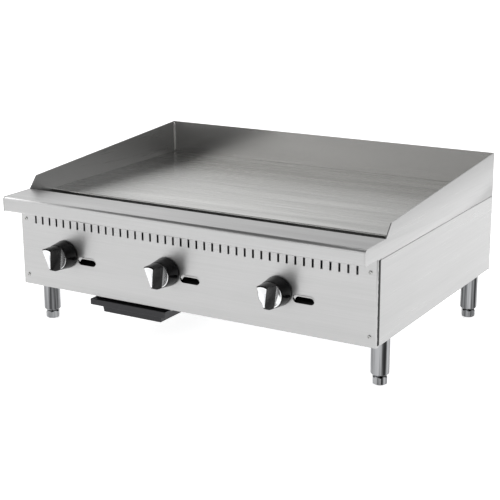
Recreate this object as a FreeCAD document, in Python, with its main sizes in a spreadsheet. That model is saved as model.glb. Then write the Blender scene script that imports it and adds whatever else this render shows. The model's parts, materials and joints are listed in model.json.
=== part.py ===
import FreeCAD, Part
import os
import re

import Sketcher
from FreeCAD import Placement, Rotation, Vector

# A counter-top gas griddle: a stainless steel cabinet on four chrome legs, with a thick steel
# cooking plate between splash guards, a grease trough behind the front ledge, and three burners.
# The frame has +Z up and the control panel facing -Y. The origin is on the floor, under the
# middle of the object's box. Lengths are millimetres.

SIZES = (
    ("overall_width", 914.4, "width over the side panels"),
    ("body_depth", 641, "front panel to rear panel"),
    ("ledge_overhang", 57.9, "how far the ledge stands in front of the front panel"),
    ("inlet_reach", 27, "how far the gas inlet stands out of the rear panel"),
    ("leg_rise", 102, "floor to the underside of the cabinet"),
    ("panel_height", 183.6, "height of the side panels, up to the seam"),
    ("ledge_rise", 36.4, "seam to the top of the ledge"),
    ("ledge_drop", 33.7, "height of the ledge's front face"),
    ("ledge_back", 38, "front panel to the ledge's rear edge"),
    ("ledge_bend", 8, "outside radius of the ledge's rounded nose"),
    ("ledge_hem", 12, "depth of the hem along the ledge's rear edge"),
    ("ledge_return", 10, "how far the ledge's bottom return reaches behind the front panel's face"),
    ("splash_rise", 103.6, "seam to the top of the rear splash guard"),
    ("splash_step", 60.3, "front panel to the top of the side guard's short slope"),
    ("splash_step_rise", 27.7, "ledge top to the top of the side guard's short slope"),
    ("splash_skin", 2.4, "sheet thickness of the splash guards"),
    ("panel_skin", 1.2, "sheet thickness of the cabinet panels"),
    ("ledge_skin", 2, "sheet thickness of the ledge"),
    ("flange_width", 13, "width of the folded flanges"),
    ("return_depth", 13, "depth of the front panel's folded side returns"),
    ("return_gap", 1, "gap between a side return and the side panel's front edge"),
    ("plate_thickness", 19, "thickness of the cooking plate"),
    ("plate_drop", 15, "ledge top to plate top"),
    ("plate_bevel", 1.5, "bevel on the plate's front edge"),
    ("trough_width", 75, "opening between the ledge and the plate"),
    ("trough_depth", 65, "ledge top to the underside of the trough"),
    ("trough_skin", 1.5, "sheet thickness of the trough"),
    ("trough_tuck", 6, "how far the trough reaches under the plate"),
    ("slot_pitch_span", 825, "first vent slot to the last"),
    ("slot_width", 5, "vent slot width"),
    ("slot_height", 18.5, "vent slot height"),
    ("slot_rise", 149, "underside of the cabinet to the foot of a vent slot"),
    ("air_slot_span", 575, "first air slot of the rear panel to the last"),
    ("air_slot_length", 25, "length of the rear panel's air slots"),
    ("air_slot_height", 8, "height of the rear panel's air slots"),
    ("air_slot_rise", 102, "underside of the cabinet to the lower air slots"),
    ("air_slot_gap", 20, "lower air slots to the upper ones"),
    ("base_slot_span", 688, "first air slot of the base to the last"),
    ("base_slot_length", 56, "length of the base's air slots"),
    ("base_slot_width", 12, "width of the base's air slots"),
    ("base_slot_start", 400, "front panel to the first row of air slots in the base"),
    ("base_slot_pitch", 60, "distance between rows of air slots in the base"),
    ("window_width", 56, "width of the heat shield's pilot windows"),
    ("window_height", 30, "height of the heat shield's pilot windows"),
    ("knob_pitch", 280, "distance between neighbouring burners"),
    ("valve_shift", 49, "burner centre to its valve"),
    ("control_rise", 87, "underside of the cabinet to the valve axes"),
    ("stem_radius", 3.95, "valve stem radius"),
    ("stem_reach", 26, "front panel to the stem's front end"),
    ("stem_length", 60, "valve stem length"),
    ("stem_flat_rise", 2.6, "stem's axis to the flat for the knob"),
    ("stem_flat_length", 21, "length of the flat on the stem"),
    ("stem_bore_radius", 4, "bore in the valve that guides the stem"),
    ("valve_radius", 11, "radius of a valve's barrel"),
    ("valve_inset", 14, "front panel to a valve's barrel"),
    ("valve_length", 32, "length of a valve's barrel"),
    ("valve_bore_depth", 24, "depth of the bore in a valve's barrel"),
    ("nipple_radius", 8, "radius of a valve's nipple"),
    ("nipple_start", 6, "manifold's axis to the foot of a nipple"),
    ("spud_radius", 7, "radius of a gas nozzle's collar"),
    ("spud_length", 12, "length of a gas nozzle's collar"),
    ("jet_radius", 4.5, "radius of a gas nozzle's nose"),
    ("jet_length", 29, "length of a gas nozzle's nose"),
    ("stem_hole_radius", 6.5, "hole in the front panel around a stem"),
    ("view_shift", 11.5, "burner centre to its viewing slot and pilot"),
    ("view_length", 51, "viewing slot length"),
    ("view_height", 19.2, "viewing slot height"),
    ("view_rise", 77.2, "underside of the cabinet to the middle of a viewing slot"),
    ("knob_radius", 33, "radius of the knob at its base"),
    ("knob_nose_radius", 25.5, "radius that the knob's cone has at the tip of its grip"),
    ("knob_reach", 68, "front panel to the tip of the knob's grip"),
    ("knob_gap", 2, "gap between the knob and the front panel"),
    ("knob_face", 35, "front panel to the round face beside the grip"),
    ("grip_foot_reach", 58, "front panel to the lower end of the grip"),
    ("grip_foot_drop", 22.5, "knob's axis down to the lower end of the grip"),
    ("grip_top", 17, "half width of the grip's root at its upper end"),
    ("grip_root", 10.5, "half width of the grip's root at its lower end"),
    ("grip_tip", 13, "half width of the grip's edge at its upper end"),
    ("grip_pinch", 5.5, "how far the two sides of the grip cross at its lower edge"),
    ("knob_bore_depth", 26, "front panel to the blind end of the knob's bore"),
    ("screw_shift", 441.5, "middle of the panel to its screws"),
    ("screw_low", 23, "underside of the cabinet to the lower screws"),
    ("screw_high", 158, "underside of the cabinet to the upper screws"),
    ("screw_radius", 2, "screw shank radius"),
    ("head_radius", 4.2, "screw head radius"),
    ("head_height", 2.6, "screw head height"),
    ("shank_length", 9, "screw shank length"),
    ("post_width", 25, "width of a corner post's sides"),
    ("post_skin", 1.5, "thickness of a corner post"),
    ("leg_shift", 434.5, "middle of the cabinet to the leg axes"),
    ("leg_inset", 70, "front and rear panels to the leg axes"),
    ("leg_radius", 20, "leg radius"),
    ("stud_radius", 8, "radius of the leg's mounting stud"),
    ("stud_length", 20, "length of the leg's mounting stud"),
    ("leg_taper", 6, "height of the leg's tapered lower end"),
    ("leg_gap", 0.5, "gap between the leg and the foot's hexagon"),
    ("mount_width", 38, "width of a leg's mounting plate"),
    ("mount_length", 70, "length of a leg's mounting plate"),
    ("mount_skin", 4, "thickness of a leg's mounting plate"),
    ("foot_hex", 30, "foot, across its flats"),
    ("foot_height", 18, "height of the foot's hexagon"),
    ("foot_rod_radius", 6, "radius of the foot's screw"),
    ("foot_bore_radius", 6.06, "bore in the leg for the foot's screw"),
    ("foot_rod_length", 52, "length of the foot's screw"),
    ("pipe_radius", 13.335, "outside radius of the gas pipes"),
    ("pipe_bore", 10.5, "inside radius of the gas pipes"),
    ("thread_radius", 13.1, "outside radius of the inlet's threaded end"),
    ("thread_length", 20, "length of the inlet's threaded end"),
    ("manifold_inset", 30, "front panel to the manifold's axis"),
    ("manifold_drop", 30, "valve axes down to the manifold's axis"),
    ("manifold_end", 372, "middle of the cabinet to the manifold's right end"),
    ("pipe_bend", 38, "bend radius of the gas supply pipe"),
    ("burner_radius", 19, "outside radius of the burner tubes"),
    ("burner_bore", 17.5, "inside radius of the burner tubes"),
    ("burner_mouth", 92, "front panel to the burner's mouth"),
    ("burner_start", 150, "front panel to the closed end of the burner's return tube"),
    ("burner_back", 110, "rear panel to the start of the burner's bend"),
    ("shutter_wall", 2.5, "burner tube to the outside of its air shutter"),
    ("shutter_skin", 1.5, "thickness of the air shutter's front"),
    ("shutter_length", 30, "length of the air shutter"),
    ("shutter_lap", 8, "how far the air shutter stands in front of the burner's mouth"),
    ("shutter_hole", 5.5, "radius of the air shutter's centre hole"),
    ("air_window_width", 7, "width of the air shutter's windows"),
    ("air_window_height", 16, "height of the air shutter's windows"),
    ("air_window_shift", 12, "centre of the air shutter to its windows"),
    ("pilot_shift", 40, "burner centre to its pilot valve"),
    ("pilot_port", 4, "radius of the stub between manifold and pilot valve"),
    ("pilot_block", 14, "side of a pilot valve's block"),
    ("pilot_block_rise", 15, "manifold's axis to the foot of a pilot valve's block"),
    ("pilot_pipe", 3, "radius of the pilot tubes"),
    ("pilot_bend", 12, "bend radius of the pilot tubes"),
    ("pilot_turn", 80, "front panel to the first bend of a pilot tube"),
    ("pilot_head", 6, "radius of a pilot burner"),
    ("pilot_head_height", 34, "height of a pilot burner"),
    ("shield_inset", 128, "front panel to the heat shield"),
    ("support_inset", 158, "front panel to the front burner support"),
    ("support_back", 150, "rear panel to the rear burner support"),
    ("support_reach", 75, "outer burners' centres to the ends of the burner supports"),
    ("support_skin", 2, "sheet thickness of the burner supports"),
    ("support_shoe", 25, "width of the burner supports' foot"),
    ("tray_centre", 154, "middle of the cabinet to the drip tray's centre line"),
    ("tray_width", 171, "drip tray width at the top"),
    ("tray_taper", 7, "how much each side of the tray leans in"),
    ("tray_length", 300, "drip tray length"),
    ("tray_height", 32.5, "drip tray height"),
    ("tray_gap", 6, "underside of the cabinet to the tray's rim"),
    ("tray_skin", 1.2, "sheet thickness of the tray"),
    ("tray_setback", 10, "front panel's face to the front wall of the tray"),
    ("rail_setback", 16, "front panel's face to the front ends of the tray's rails"),
    ("rail_ear", 14, "how far a rail's ear reaches beyond the tray's rim"),
    ("rail_shelf", 4, "tray's side to the edge of its rail"),
    ("rim_width", 17, "width of the tray's rim at the sides"),
    ("lip_reach", 18, "how far the pull lip stands in front of the tray"),
    ("lip_height", 13.6, "height of the pull lip"),
    ("chute_radius", 24, "inside radius of the grease chute"),
    ("chute_inset", 78, "front panel to the grease chute's axis"),
    ("chute_drop", 3, "underside of the cabinet to the foot of the grease chute"),
    ("slide_gap", 0.4, "clearance around sliding and turning pieces"),
)

doc = FreeCAD.newDocument("FlatTopGriddle")
sheet = doc.addObject("Spreadsheet::Sheet", "Dimensions")
for row, (alias, number, meaning) in enumerate(SIZES, start=1):
    sheet.set(f"A{row}", meaning)
    sheet.set(f"B{row}", str(number))
    sheet.setAlias(f"B{row}", alias)
doc.recompute()

ALIASES = {alias for alias, _, _ in SIZES}
PIECES = []

# Places that many sub-parts share, as formulas of the sheet's sizes.
HALF = "(overall_width / 2)"
FRONT = "((knob_reach - body_depth - inlet_reach) / 2)"
BACK = f"({FRONT} + body_depth)"
SEAM = "(leg_rise + panel_height)"
LEDGE_TOP = f"({SEAM} + ledge_rise)"
LEDGE_FOOT = f"({LEDGE_TOP} - ledge_drop)"
PLATE_TOP = f"({LEDGE_TOP} - plate_drop)"
PLATE_FOOT = f"({PLATE_TOP} - plate_thickness)"
PLATE_FRONT = f"({FRONT} + ledge_back + trough_width)"
TROUGH_FOOT = f"({LEDGE_TOP} - trough_depth)"
CONTROL = "(leg_rise + control_rise)"
VIEW = "(leg_rise + view_rise)"
MANIFOLD = f"({CONTROL} - manifold_drop)"
FLOOR_TOP = "(leg_rise + 2 * panel_skin)"
PANEL_INSIDE = "(overall_width / 2 - 2 * panel_skin - 0.1)"
TRAY_TOP = "(leg_rise - tray_gap)"
STATIONS = {"left": "(-knob_pitch)", "middle": "(0)", "right": "knob_pitch"}
SIDES = {"left": "-1", "right": "1"}

ALONG = {
    "X": Rotation(Vector(0, 1, 0), 90),
    "Y": Rotation(Vector(1, 0, 0), -90),
    "Z": Rotation(),
}


def formula(text):
    """Return text with each sheet alias in it written as a reference to the sheet."""
    return re.sub(r"[a-z]+(?:_[a-z]+)*",
                  lambda word: f"Dimensions.{word[0]}" if word[0] in ALIASES else word[0], str(text))


def size(alias):
    """Return the number that the sheet holds for alias."""
    return float(sheet.get(alias))


def bind(item, **texts):
    """Bind properties of item to formulas."""
    for name, text in texts.items():
        item.setExpression(name, formula(text))


def place(item, x, y, z):
    """Bind where item stands."""
    for axis, text in (("x", x), ("y", y), ("z", z)):
        item.setExpression(f"Placement.Base.{axis}", formula(text))


def keep(item, label):
    """Name item as a finished sub-part."""
    item.Label = label
    PIECES.append(item)
    return item


# ---------------------------------------------------------------- primitives and booleans


def box(name, x, y, z, length, width, height):
    """A box with its low corner at (x, y, z)."""
    item = doc.addObject("Part::Box", name)
    bind(item, Length=length, Width=width, Height=height)
    place(item, x, y, z)
    return item


def cylinder(name, along, x, y, z, radius, height):
    """A cylinder that starts at (x, y, z) and runs along an axis."""
    item = doc.addObject("Part::Cylinder", name)
    item.Placement = Placement(Vector(), ALONG[along])
    bind(item, Radius=radius, Height=height)
    place(item, x, y, z)
    return item


def bend(name, x, y, z, bend_radius, tube_radius, turn, start):
    """A bent round bar in a level plane: turn degrees about (x, y, z), from start degrees."""
    item = doc.addObject("Part::Torus", name)
    item.Placement = Placement(Vector(), Rotation(Vector(0, 0, 1), start))
    item.Angle1 = -180
    item.Angle2 = 180
    item.Angle3 = turn
    bind(item, Radius1=bend_radius, Radius2=tube_radius)
    place(item, x, y, z)
    return item


def fuse(name, items):
    """One solid made of several that touch."""
    item = doc.addObject("Part::MultiFuse", name)
    item.Shapes = items
    item.Refine = True
    return item


def group(name, items):
    """Several separate solids under one name."""
    item = doc.addObject("Part::Compound", name)
    item.Links = items
    return item


def cut(name, base, tools):
    """base with tools taken away."""
    item = doc.addObject("Part::Cut", name)
    item.Base = base
    item.Tool = tools[0] if len(tools) == 1 else group(f"{name}_tools", tools)
    return item


# ---------------------------------------------------------------- bodies and sketches


def new_body(label, x="0", y="0", z="0"):
    """An empty body whose own origin stands at (x, y, z)."""
    body = keep(doc.addObject("PartDesign::Body", label), label)
    place(body, x, y, z)
    return body


def origin_part(body, role):
    """The body's own origin plane or axis with this role."""
    return next(part for part in body.Origin.OriginFeatures if part.Role == role)


def new_sketch(body, name, plane, lift="0"):
    """An empty sketch on one of the body's planes, lifted along the plane's normal."""
    sketch = body.newObject("Sketcher::SketchObject", name)
    sketch.AttachmentSupport = [(origin_part(body, plane), "")]
    sketch.MapMode = "FlatFace"
    sketch.setExpression("AttachmentOffset.Base.z", formula(lift))
    return sketch


def pin_point(sketch, element, spot, across, up):
    """Bind a point of the sketch to its distances from the sketch's origin."""
    for kind, text in (("DistanceX", across), ("DistanceY", up)):
        index = sketch.addConstraint(Sketcher.Constraint(kind, -1, 1, element, spot, 1.0))
        sketch.setExpression(f"Constraints[{index}]", formula(text))


def outline(body, name, plane, corners, lift="0"):
    """A closed polygon; each corner is a pair of formulas."""
    sketch = new_sketch(body, name, plane, lift)
    count = len(corners)
    start = [Vector(10 + 7 * step, 5 + step * step, 0) for step in range(count)]
    for step in range(count):
        sketch.addGeometry(Part.LineSegment(start[step], start[(step + 1) % count]))
    for step in range(count):
        sketch.addConstraint(Sketcher.Constraint("Coincident", step, 2, (step + 1) % count, 1))
    for step, (across, up) in enumerate(corners):
        pin_point(sketch, step, 1, across, up)
    return sketch


def rectangle(body, name, plane, low_x, low_y, high_x, high_y, lift="0"):
    """A rectangle between two corners."""
    corners = ((low_x, low_y), (high_x, low_y), (high_x, high_y), (low_x, high_y))
    return outline(body, name, plane, corners, lift)


def circles(body, name, plane, centres, radius, lift="0"):
    """Circles of one radius."""
    sketch = new_sketch(body, name, plane, lift)
    for step, (across, up) in enumerate(centres):
        circle = Part.Circle(Vector(10 + 60 * step, 10, 0), Vector(0, 0, 1), 5)
        sketch.addGeometry(circle)
        pin_point(sketch, step, 3, across, up)
        index = sketch.addConstraint(Sketcher.Constraint("Radius", step, 5))
        sketch.setExpression(f"Constraints[{index}]", formula(radius))
    return sketch


def extrude(body, kind, name, sketch, length, backwards=False, both_ways=False):
    """A Pad or a Pocket of a sketch."""
    feature = body.newObject(f"PartDesign::{kind}", name)
    feature.Profile = sketch
    bind(feature, Length=length)
    feature.Reversed = backwards
    if both_ways:
        feature.SideType = "Symmetric"
    doc.recompute()
    body.Tip = feature
    return feature


def pad(body, name, sketch, length, **options):
    """A Pad."""
    return extrude(body, "Pad", name, sketch, length, **options)


def pocket(body, name, sketch, length, **options):
    """A Pocket, which must take something away."""
    before = body.Tip.Shape.Volume
    feature = extrude(body, "Pocket", name, sketch, length, **options)
    assert feature.Shape.Volume < before - 1, f"{name} cuts nothing"
    return feature


def repeat(body, name, feature, axis, length, count):
    """Repeat a feature along one of the body's axes; length is first to last."""
    pattern = body.newObject("PartDesign::LinearPattern", name)
    pattern.Originals = [feature]
    pattern.Direction = (origin_part(body, axis), [""])
    bind(pattern, Length=length)
    pattern.Occurrences = count
    body.Tip = pattern
    doc.recompute()
    return pattern


def bends_along(feature, run, spots):
    """Names of the straight edges of feature that run along an axis and pass through spots.

    A spot is the pair of the two other coordinates.
    """
    others = [axis for axis in "xyz" if axis != run]
    found = []
    for number, edge in enumerate(feature.Shape.Edges, start=1):
        first, last = edge.Vertexes[0].Point, edge.Vertexes[-1].Point
        place_pair = [getattr(first, axis) for axis in others]
        straight = all(abs(getattr(last, axis) - getattr(first, axis)) < 0.01 for axis in others)
        near = any(abs(place_pair[0] - a) + abs(place_pair[1] - b) < 0.05 for a, b in spots)
        if straight and near:
            found.append(f"Edge{number}")
    return found


def round_edges(body, name, run, spots, radius):
    """Round the edges of the body's tip that run along an axis through spots."""
    base = body.Tip
    feature = body.newObject("PartDesign::Fillet", name)
    feature.Base = (base, bends_along(base, run, spots))
    bind(feature, Radius=radius)
    doc.recompute()
    body.Tip = feature
    return feature


def revolve(body, name, sketch, axis, turn=360, kind="Revolution"):
    """Turn a sketch about one of the body's axes, to add material or, as a Groove, to take it away."""
    feature = body.newObject(f"PartDesign::{kind}", name)
    feature.Profile = sketch
    feature.ReferenceAxis = (origin_part(body, axis), [""])
    feature.Angle = turn
    doc.recompute()
    body.Tip = feature
    return feature


# ---------------------------------------------------------------- cooking top


def griddle_plate():
    """The thick steel cooking plate, bevelled along its front edge."""
    body = new_body("griddle_plate", y=PLATE_FRONT, z=PLATE_FOOT)
    half = f"({HALF} - splash_skin)"
    depth = f"({BACK} - splash_skin - {PLATE_FRONT})"
    pad(body, "plate_slab", rectangle(body, "plate_outline", "XY_Plane", f"-{half}", "0", half, depth),
        "plate_thickness")
    slab = body.Tip
    bevel = body.newObject("PartDesign::Chamfer", "plate_front_bevel")
    bevel.Base = (slab, bends_along(slab, "x", [(0, size("plate_thickness"))]))
    bind(bevel, Size="plate_bevel")
    body.Tip = bevel


def rear_splash_guard():
    """The upright sheet behind the plate, with a flange that the plate rests on."""
    body = new_body("rear_splash_guard", x=f"-{HALF} + splash_skin", y=BACK, z=SEAM)
    corners = (("0", "0"), ("0", "splash_rise"), ("-splash_skin", "splash_rise"),
               ("-splash_skin", "splash_skin"), ("-flange_width", "splash_skin"), ("-flange_width", "0"))
    pad(body, "rear_guard_sheet", outline(body, "rear_guard_section", "YZ_Plane", corners),
        "overall_width - 2 * splash_skin")


def side_splash_guard(side, sign):
    """A side sheet that caps the ledge's end and rises to the rear guard, with a flange inside."""
    body = new_body(f"{side}_splash_guard", x=f"{sign} * {HALF}", y=FRONT, z=SEAM)
    top = "ledge_rise"
    foot = "(ledge_rise - ledge_drop)"
    notch = "(return_depth + return_gap)"
    corners = (("-ledge_overhang", foot), ("-ledge_overhang", top), ("ledge_back - ledge_skin", top),
               ("splash_step", f"{top} + splash_step_rise"), ("body_depth", "splash_rise"),
               ("body_depth", "0"), (notch, "0"), (notch, foot))
    inward = side == "right"
    pad(body, f"{side}_guard_sheet", outline(body, f"{side}_guard_section", "YZ_Plane", corners),
        "splash_skin", backwards=inward)
    strip = rectangle(body, f"{side}_guard_strip", "YZ_Plane", notch, "0",
                      "body_depth - flange_width", "splash_skin")
    pad(body, f"{side}_guard_flange", strip, "flange_width", backwards=inward)
    round_edges(body, f"{side}_guard_nose", "x", [(-size("ledge_overhang"), size("ledge_rise"))],
                "ledge_bend")


def front_ledge():
    """The rounded rail across the front: top, front face, bottom return and rear hem."""
    body = new_body("front_ledge", x=f"-{HALF} + splash_skin", y=FRONT, z=LEDGE_TOP)
    nose, tail, skin = "ledge_overhang", "ledge_back", "ledge_skin"
    corners = ((tail, "-ledge_hem"), (tail, "0"), (f"-{nose}", "0"), (f"-{nose}", "-ledge_drop"),
               ("ledge_return", "-ledge_drop"), ("ledge_return", f"{skin} - ledge_drop"),
               (f"{skin} - {nose}", f"{skin} - ledge_drop"), (f"{skin} - {nose}", f"-{skin}"),
               (f"{tail} - {skin}", f"-{skin}"), (f"{tail} - {skin}", "-ledge_hem"))
    pad(body, "ledge_sheet", outline(body, "ledge_section", "YZ_Plane", corners),
        "overall_width - 2 * splash_skin")
    nose_y, tail_y = -size("ledge_overhang"), size("ledge_back")
    thick, drop = size("ledge_skin"), size("ledge_drop")
    round_edges(body, "ledge_nose_outside", "x", [(nose_y, 0)], "ledge_bend")
    round_edges(body, "ledge_nose_inside", "x", [(nose_y + thick, -thick)],
                "ledge_bend - ledge_skin")
    round_edges(body, "ledge_bends_outside", "x", [(nose_y, -drop), (tail_y, 0)], "1.5 * ledge_skin")
    round_edges(body, "ledge_bends_inside", "x",
                [(nose_y + thick, thick - drop), (tail_y - thick, -thick)], "0.5 * ledge_skin")


def grease_trough():
    """The channel between the ledge and the plate, with a drain hole over the chute."""
    low_y = f"({FRONT} + ledge_back - ledge_skin - trough_skin)"
    wide = f"(2 * ({HALF} - flange_width - 0.2))"
    deep = "(trough_width + ledge_skin + trough_skin + trough_tuck)"
    skin = "trough_skin"
    outer = box("trough_block", f"-{wide} / 2", low_y, TROUGH_FOOT, wide, deep,
                "trough_depth - 2 * ledge_skin")
    inner = box("trough_hollow", f"-{wide} / 2 + {skin}", f"{low_y} + {skin}", f"{TROUGH_FOOT} + {skin}",
                f"{wide} - 2 * {skin}", f"{deep} - 2 * {skin}", "trough_depth")
    lower = box("trough_rear_drop", f"-{wide}", f"{low_y} + {skin}", PLATE_FOOT,
                f"2 * {wide}", "2 * trough_width", "trough_depth")
    drain = cylinder("trough_drain", "Z", "-tray_centre", f"{FRONT} + chute_inset",
                     f"{TROUGH_FOOT} - 1", "chute_radius", f"{skin} + 2")
    keep(cut("grease_trough_solid", outer, [inner, lower, drain]), "grease_trough")


def grease_chute():
    """The tube that drops the grease from the trough into the drip tray."""
    at = ("-tray_centre", f"{FRONT} + chute_inset")
    foot = "(leg_rise - chute_drop)"
    outer = cylinder("chute_wall", "Z", *at, foot, "chute_radius + trough_skin", f"{TROUGH_FOOT} - {foot}")
    inner = cylinder("chute_hollow", "Z", *at, f"{foot} - 1", "chute_radius", f"{TROUGH_FOOT} - {foot} + 2")
    keep(cut("grease_chute_solid", outer, [inner]), "grease_chute")


# ---------------------------------------------------------------- cabinet


def side_panel(side, sign):
    """A side sheet with a flange folded in at its foot and at its top."""
    body = new_body(f"{side}_side_panel", x=f"{sign} * {HALF}",
                    y=f"{FRONT} + return_depth + return_gap", z="leg_rise")
    inward = "-" if side == "right" else ""
    top, skin, reach = "panel_height", "panel_skin", "flange_width"
    corners = (("0", "0"), (f"{inward}{reach}", "0"), (f"{inward}{reach}", skin),
               (f"{inward}{skin}", skin), (f"{inward}{skin}", f"{top} - {skin}"),
               (f"{inward}{reach}", f"{top} - {skin}"), (f"{inward}{reach}", top), ("0", top))
    pad(body, f"{side}_panel_sheet", outline(body, f"{side}_panel_section", "XZ_Plane", corners),
        "body_depth - return_depth - return_gap - panel_skin", backwards=True)
    facing = -1 if side == "right" else 1
    height, thick = size("panel_height"), size("panel_skin")
    round_edges(body, f"{side}_panel_bends_outside", "y", [(0, 0), (0, height)], "2 * panel_skin")
    inside = [(facing * thick, thick), (facing * thick, height - thick)]
    round_edges(body, f"{side}_panel_bends_inside", "y", inside, "panel_skin")


def front_panel():
    """The control panel, with vent slots, stem holes, viewing slots and screw holes."""
    body = new_body("front_panel", y=FRONT, z="leg_rise")
    half, skin = "(overall_width / 2 - 0.5)", "panel_skin"
    corners = ((f"-{half}", "0"), (half, "0"), (half, "return_depth"), (f"{half} - {skin}", "return_depth"),
               (f"{half} - {skin}", skin), (f"{skin} - {half}", skin),
               (f"{skin} - {half}", "return_depth"), (f"-{half}", "return_depth"))
    pad(body, "front_sheet", outline(body, "front_section", "XY_Plane", corners),
        "panel_height + ledge_rise - ledge_drop")
    half_mm = size("overall_width") / 2 - 0.5
    round_edges(body, "front_panel_bends", "z", [(-half_mm, 0), (half_mm, 0)], "2 * panel_skin")
    through = "3 * panel_skin"
    slot = rectangle(body, "vent_slot_outline", "XZ_Plane", "-(slot_pitch_span + slot_width) / 2",
                     "slot_rise", "-(slot_pitch_span - slot_width) / 2", "slot_rise + slot_height")
    repeat(body, "vent_slots", pocket(body, "vent_slot", slot, through), "X_Axis", "slot_pitch_span", 42)
    stems = [(f"{middle} - valve_shift", "control_rise") for middle in STATIONS.values()]
    pocket(body, "stem_holes", circles(body, "stem_hole_circles", "XZ_Plane", stems, "stem_hole_radius"),
           through)
    radius = "(view_height / 2)"
    reach = f"(view_length / 2 - {radius})"
    for name, middle in STATIONS.items():
        centre = f"({middle} + view_shift)"
        window = rectangle(body, f"{name}_view_outline", "XZ_Plane", f"{centre} - {reach}",
                           f"view_rise - {radius}", f"{centre} + {reach}", f"view_rise + {radius}")
        pocket(body, f"{name}_view_slot", window, through)
        ends = [(f"{centre} + {sign} * {reach}", "view_rise") for sign in SIDES.values()]
        pocket(body, f"{name}_view_ends", circles(body, f"{name}_view_end_circles", "XZ_Plane", ends, radius),
               through)
    screws = [(f"{sign} * screw_shift", height) for sign in SIDES.values()
              for height in ("screw_low", "screw_high")]
    pocket(body, "screw_holes", circles(body, "screw_hole_circles", "XZ_Plane", screws, "screw_radius"),
           through)


def rear_panel():
    """The back sheet, with two rows of air slots, the gas inlet's hole and screw holes."""
    body = new_body("rear_panel", y=f"{BACK} - panel_skin", z="leg_rise")
    pad(body, "rear_sheet", rectangle(body, "rear_outline", "XY_Plane", f"-{HALF}", "0", HALF, "panel_skin"),
        "panel_height")
    start = "(-(air_slot_span + air_slot_length) / 2)"
    for row, foot in (("upper", "(air_slot_rise + air_slot_gap)"), ("lower", "air_slot_rise")):
        slot = rectangle(body, f"{row}_air_outline", "XZ_Plane", start, foot,
                         f"{start} + air_slot_length", f"{foot} + air_slot_height")
        repeat(body, f"{row}_air_slots", pocket(body, f"{row}_air_slot", slot, "2 * panel_skin"),
               "X_Axis", "air_slot_span", 16)
    inlet = circles(body, "inlet_circle", "XZ_Plane",
                    [("manifold_end + pipe_bend", "control_rise - manifold_drop")],
                    "pipe_radius + panel_skin")
    pocket(body, "inlet_hole", inlet, "2 * panel_skin")
    holes = [(f"{sign} * screw_shift", rise) for sign in SIDES.values()
             for rise in ("screw_low", "screw_high")]
    pocket(body, "rear_screw_holes", circles(body, "rear_screw_circles", "XZ_Plane", holes, "screw_radius"),
           "2 * panel_skin")


def bottom_panel():
    """The base sheet, with air slots, leg stud holes and the chute's hole."""
    body = new_body("bottom_panel", y=FRONT, z="leg_rise + panel_skin")
    half, skin, through = PANEL_INSIDE, "panel_skin", "2 * panel_skin"
    sheet_outline = rectangle(body, "base_outline", "XY_Plane", f"-{half}", skin,
                              half, f"body_depth - {skin}")
    pad(body, "base_sheet", sheet_outline, skin)
    studs = [(f"{sign} * leg_shift", depth) for sign in SIDES.values()
             for depth in ("leg_inset", "body_depth - leg_inset")]
    stud_outline = circles(body, "stud_circles", "XY_Plane", studs, "stud_radius + 0.5")
    pocket(body, "stud_holes", stud_outline, through, backwards=True)
    chute_outline = circles(body, "chute_circle", "XY_Plane", [("-tray_centre", "chute_inset")],
                            "chute_radius + trough_skin + 1")
    pocket(body, "chute_hole", chute_outline, through, backwards=True)
    left = "(-(base_slot_span + base_slot_length) / 2)"
    for step, row in enumerate(("front", "middle", "rear")):
        start = f"(base_slot_start + {step} * base_slot_pitch)"
        slot = rectangle(body, f"{row}_base_slot_outline", "XY_Plane", left, start,
                         f"{left} + base_slot_length", f"{start} + base_slot_width")
        cut_out = pocket(body, f"{row}_base_slot", slot, through, backwards=True)
        repeat(body, f"{row}_base_slots", cut_out, "X_Axis", "base_slot_span", 9)


def corner_post(side, sign, end):
    """An angle-section post in a corner of the cabinet, tapped for the panel screws."""
    high = f"({SEAM} - panel_skin - {FLOOR_TOP})"
    outside = f"({sign} * {PANEL_INSIDE})"
    low_x = outside if side == "left" else f"{outside} - post_width"
    side_x = outside if side == "left" else f"{outside} - post_skin"
    low_y = f"({FRONT} + panel_skin)" if end == "front" else f"({BACK} - panel_skin - post_width)"
    face_y = low_y if end == "front" else f"({BACK} - panel_skin - post_skin)"
    name = f"{end}_{side}_post"
    face = box(f"{name}_face", low_x, face_y, FLOOR_TOP, "post_width", "post_skin", high)
    wing = box(f"{name}_wing", side_x, low_y, FLOOR_TOP, "post_skin", "post_width", high)
    angle = fuse(f"{name}_angle", [face, wing])
    holes = [cylinder(f"{name}_hole_{rise}", "Y", f"{sign} * screw_shift", f"{face_y} - 1",
                      f"leg_rise + {rise}", "screw_radius", "post_skin + 2")
             for rise in ("screw_low", "screw_high")]
    keep(cut(f"{name}_solid", angle, holes), name)


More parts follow.
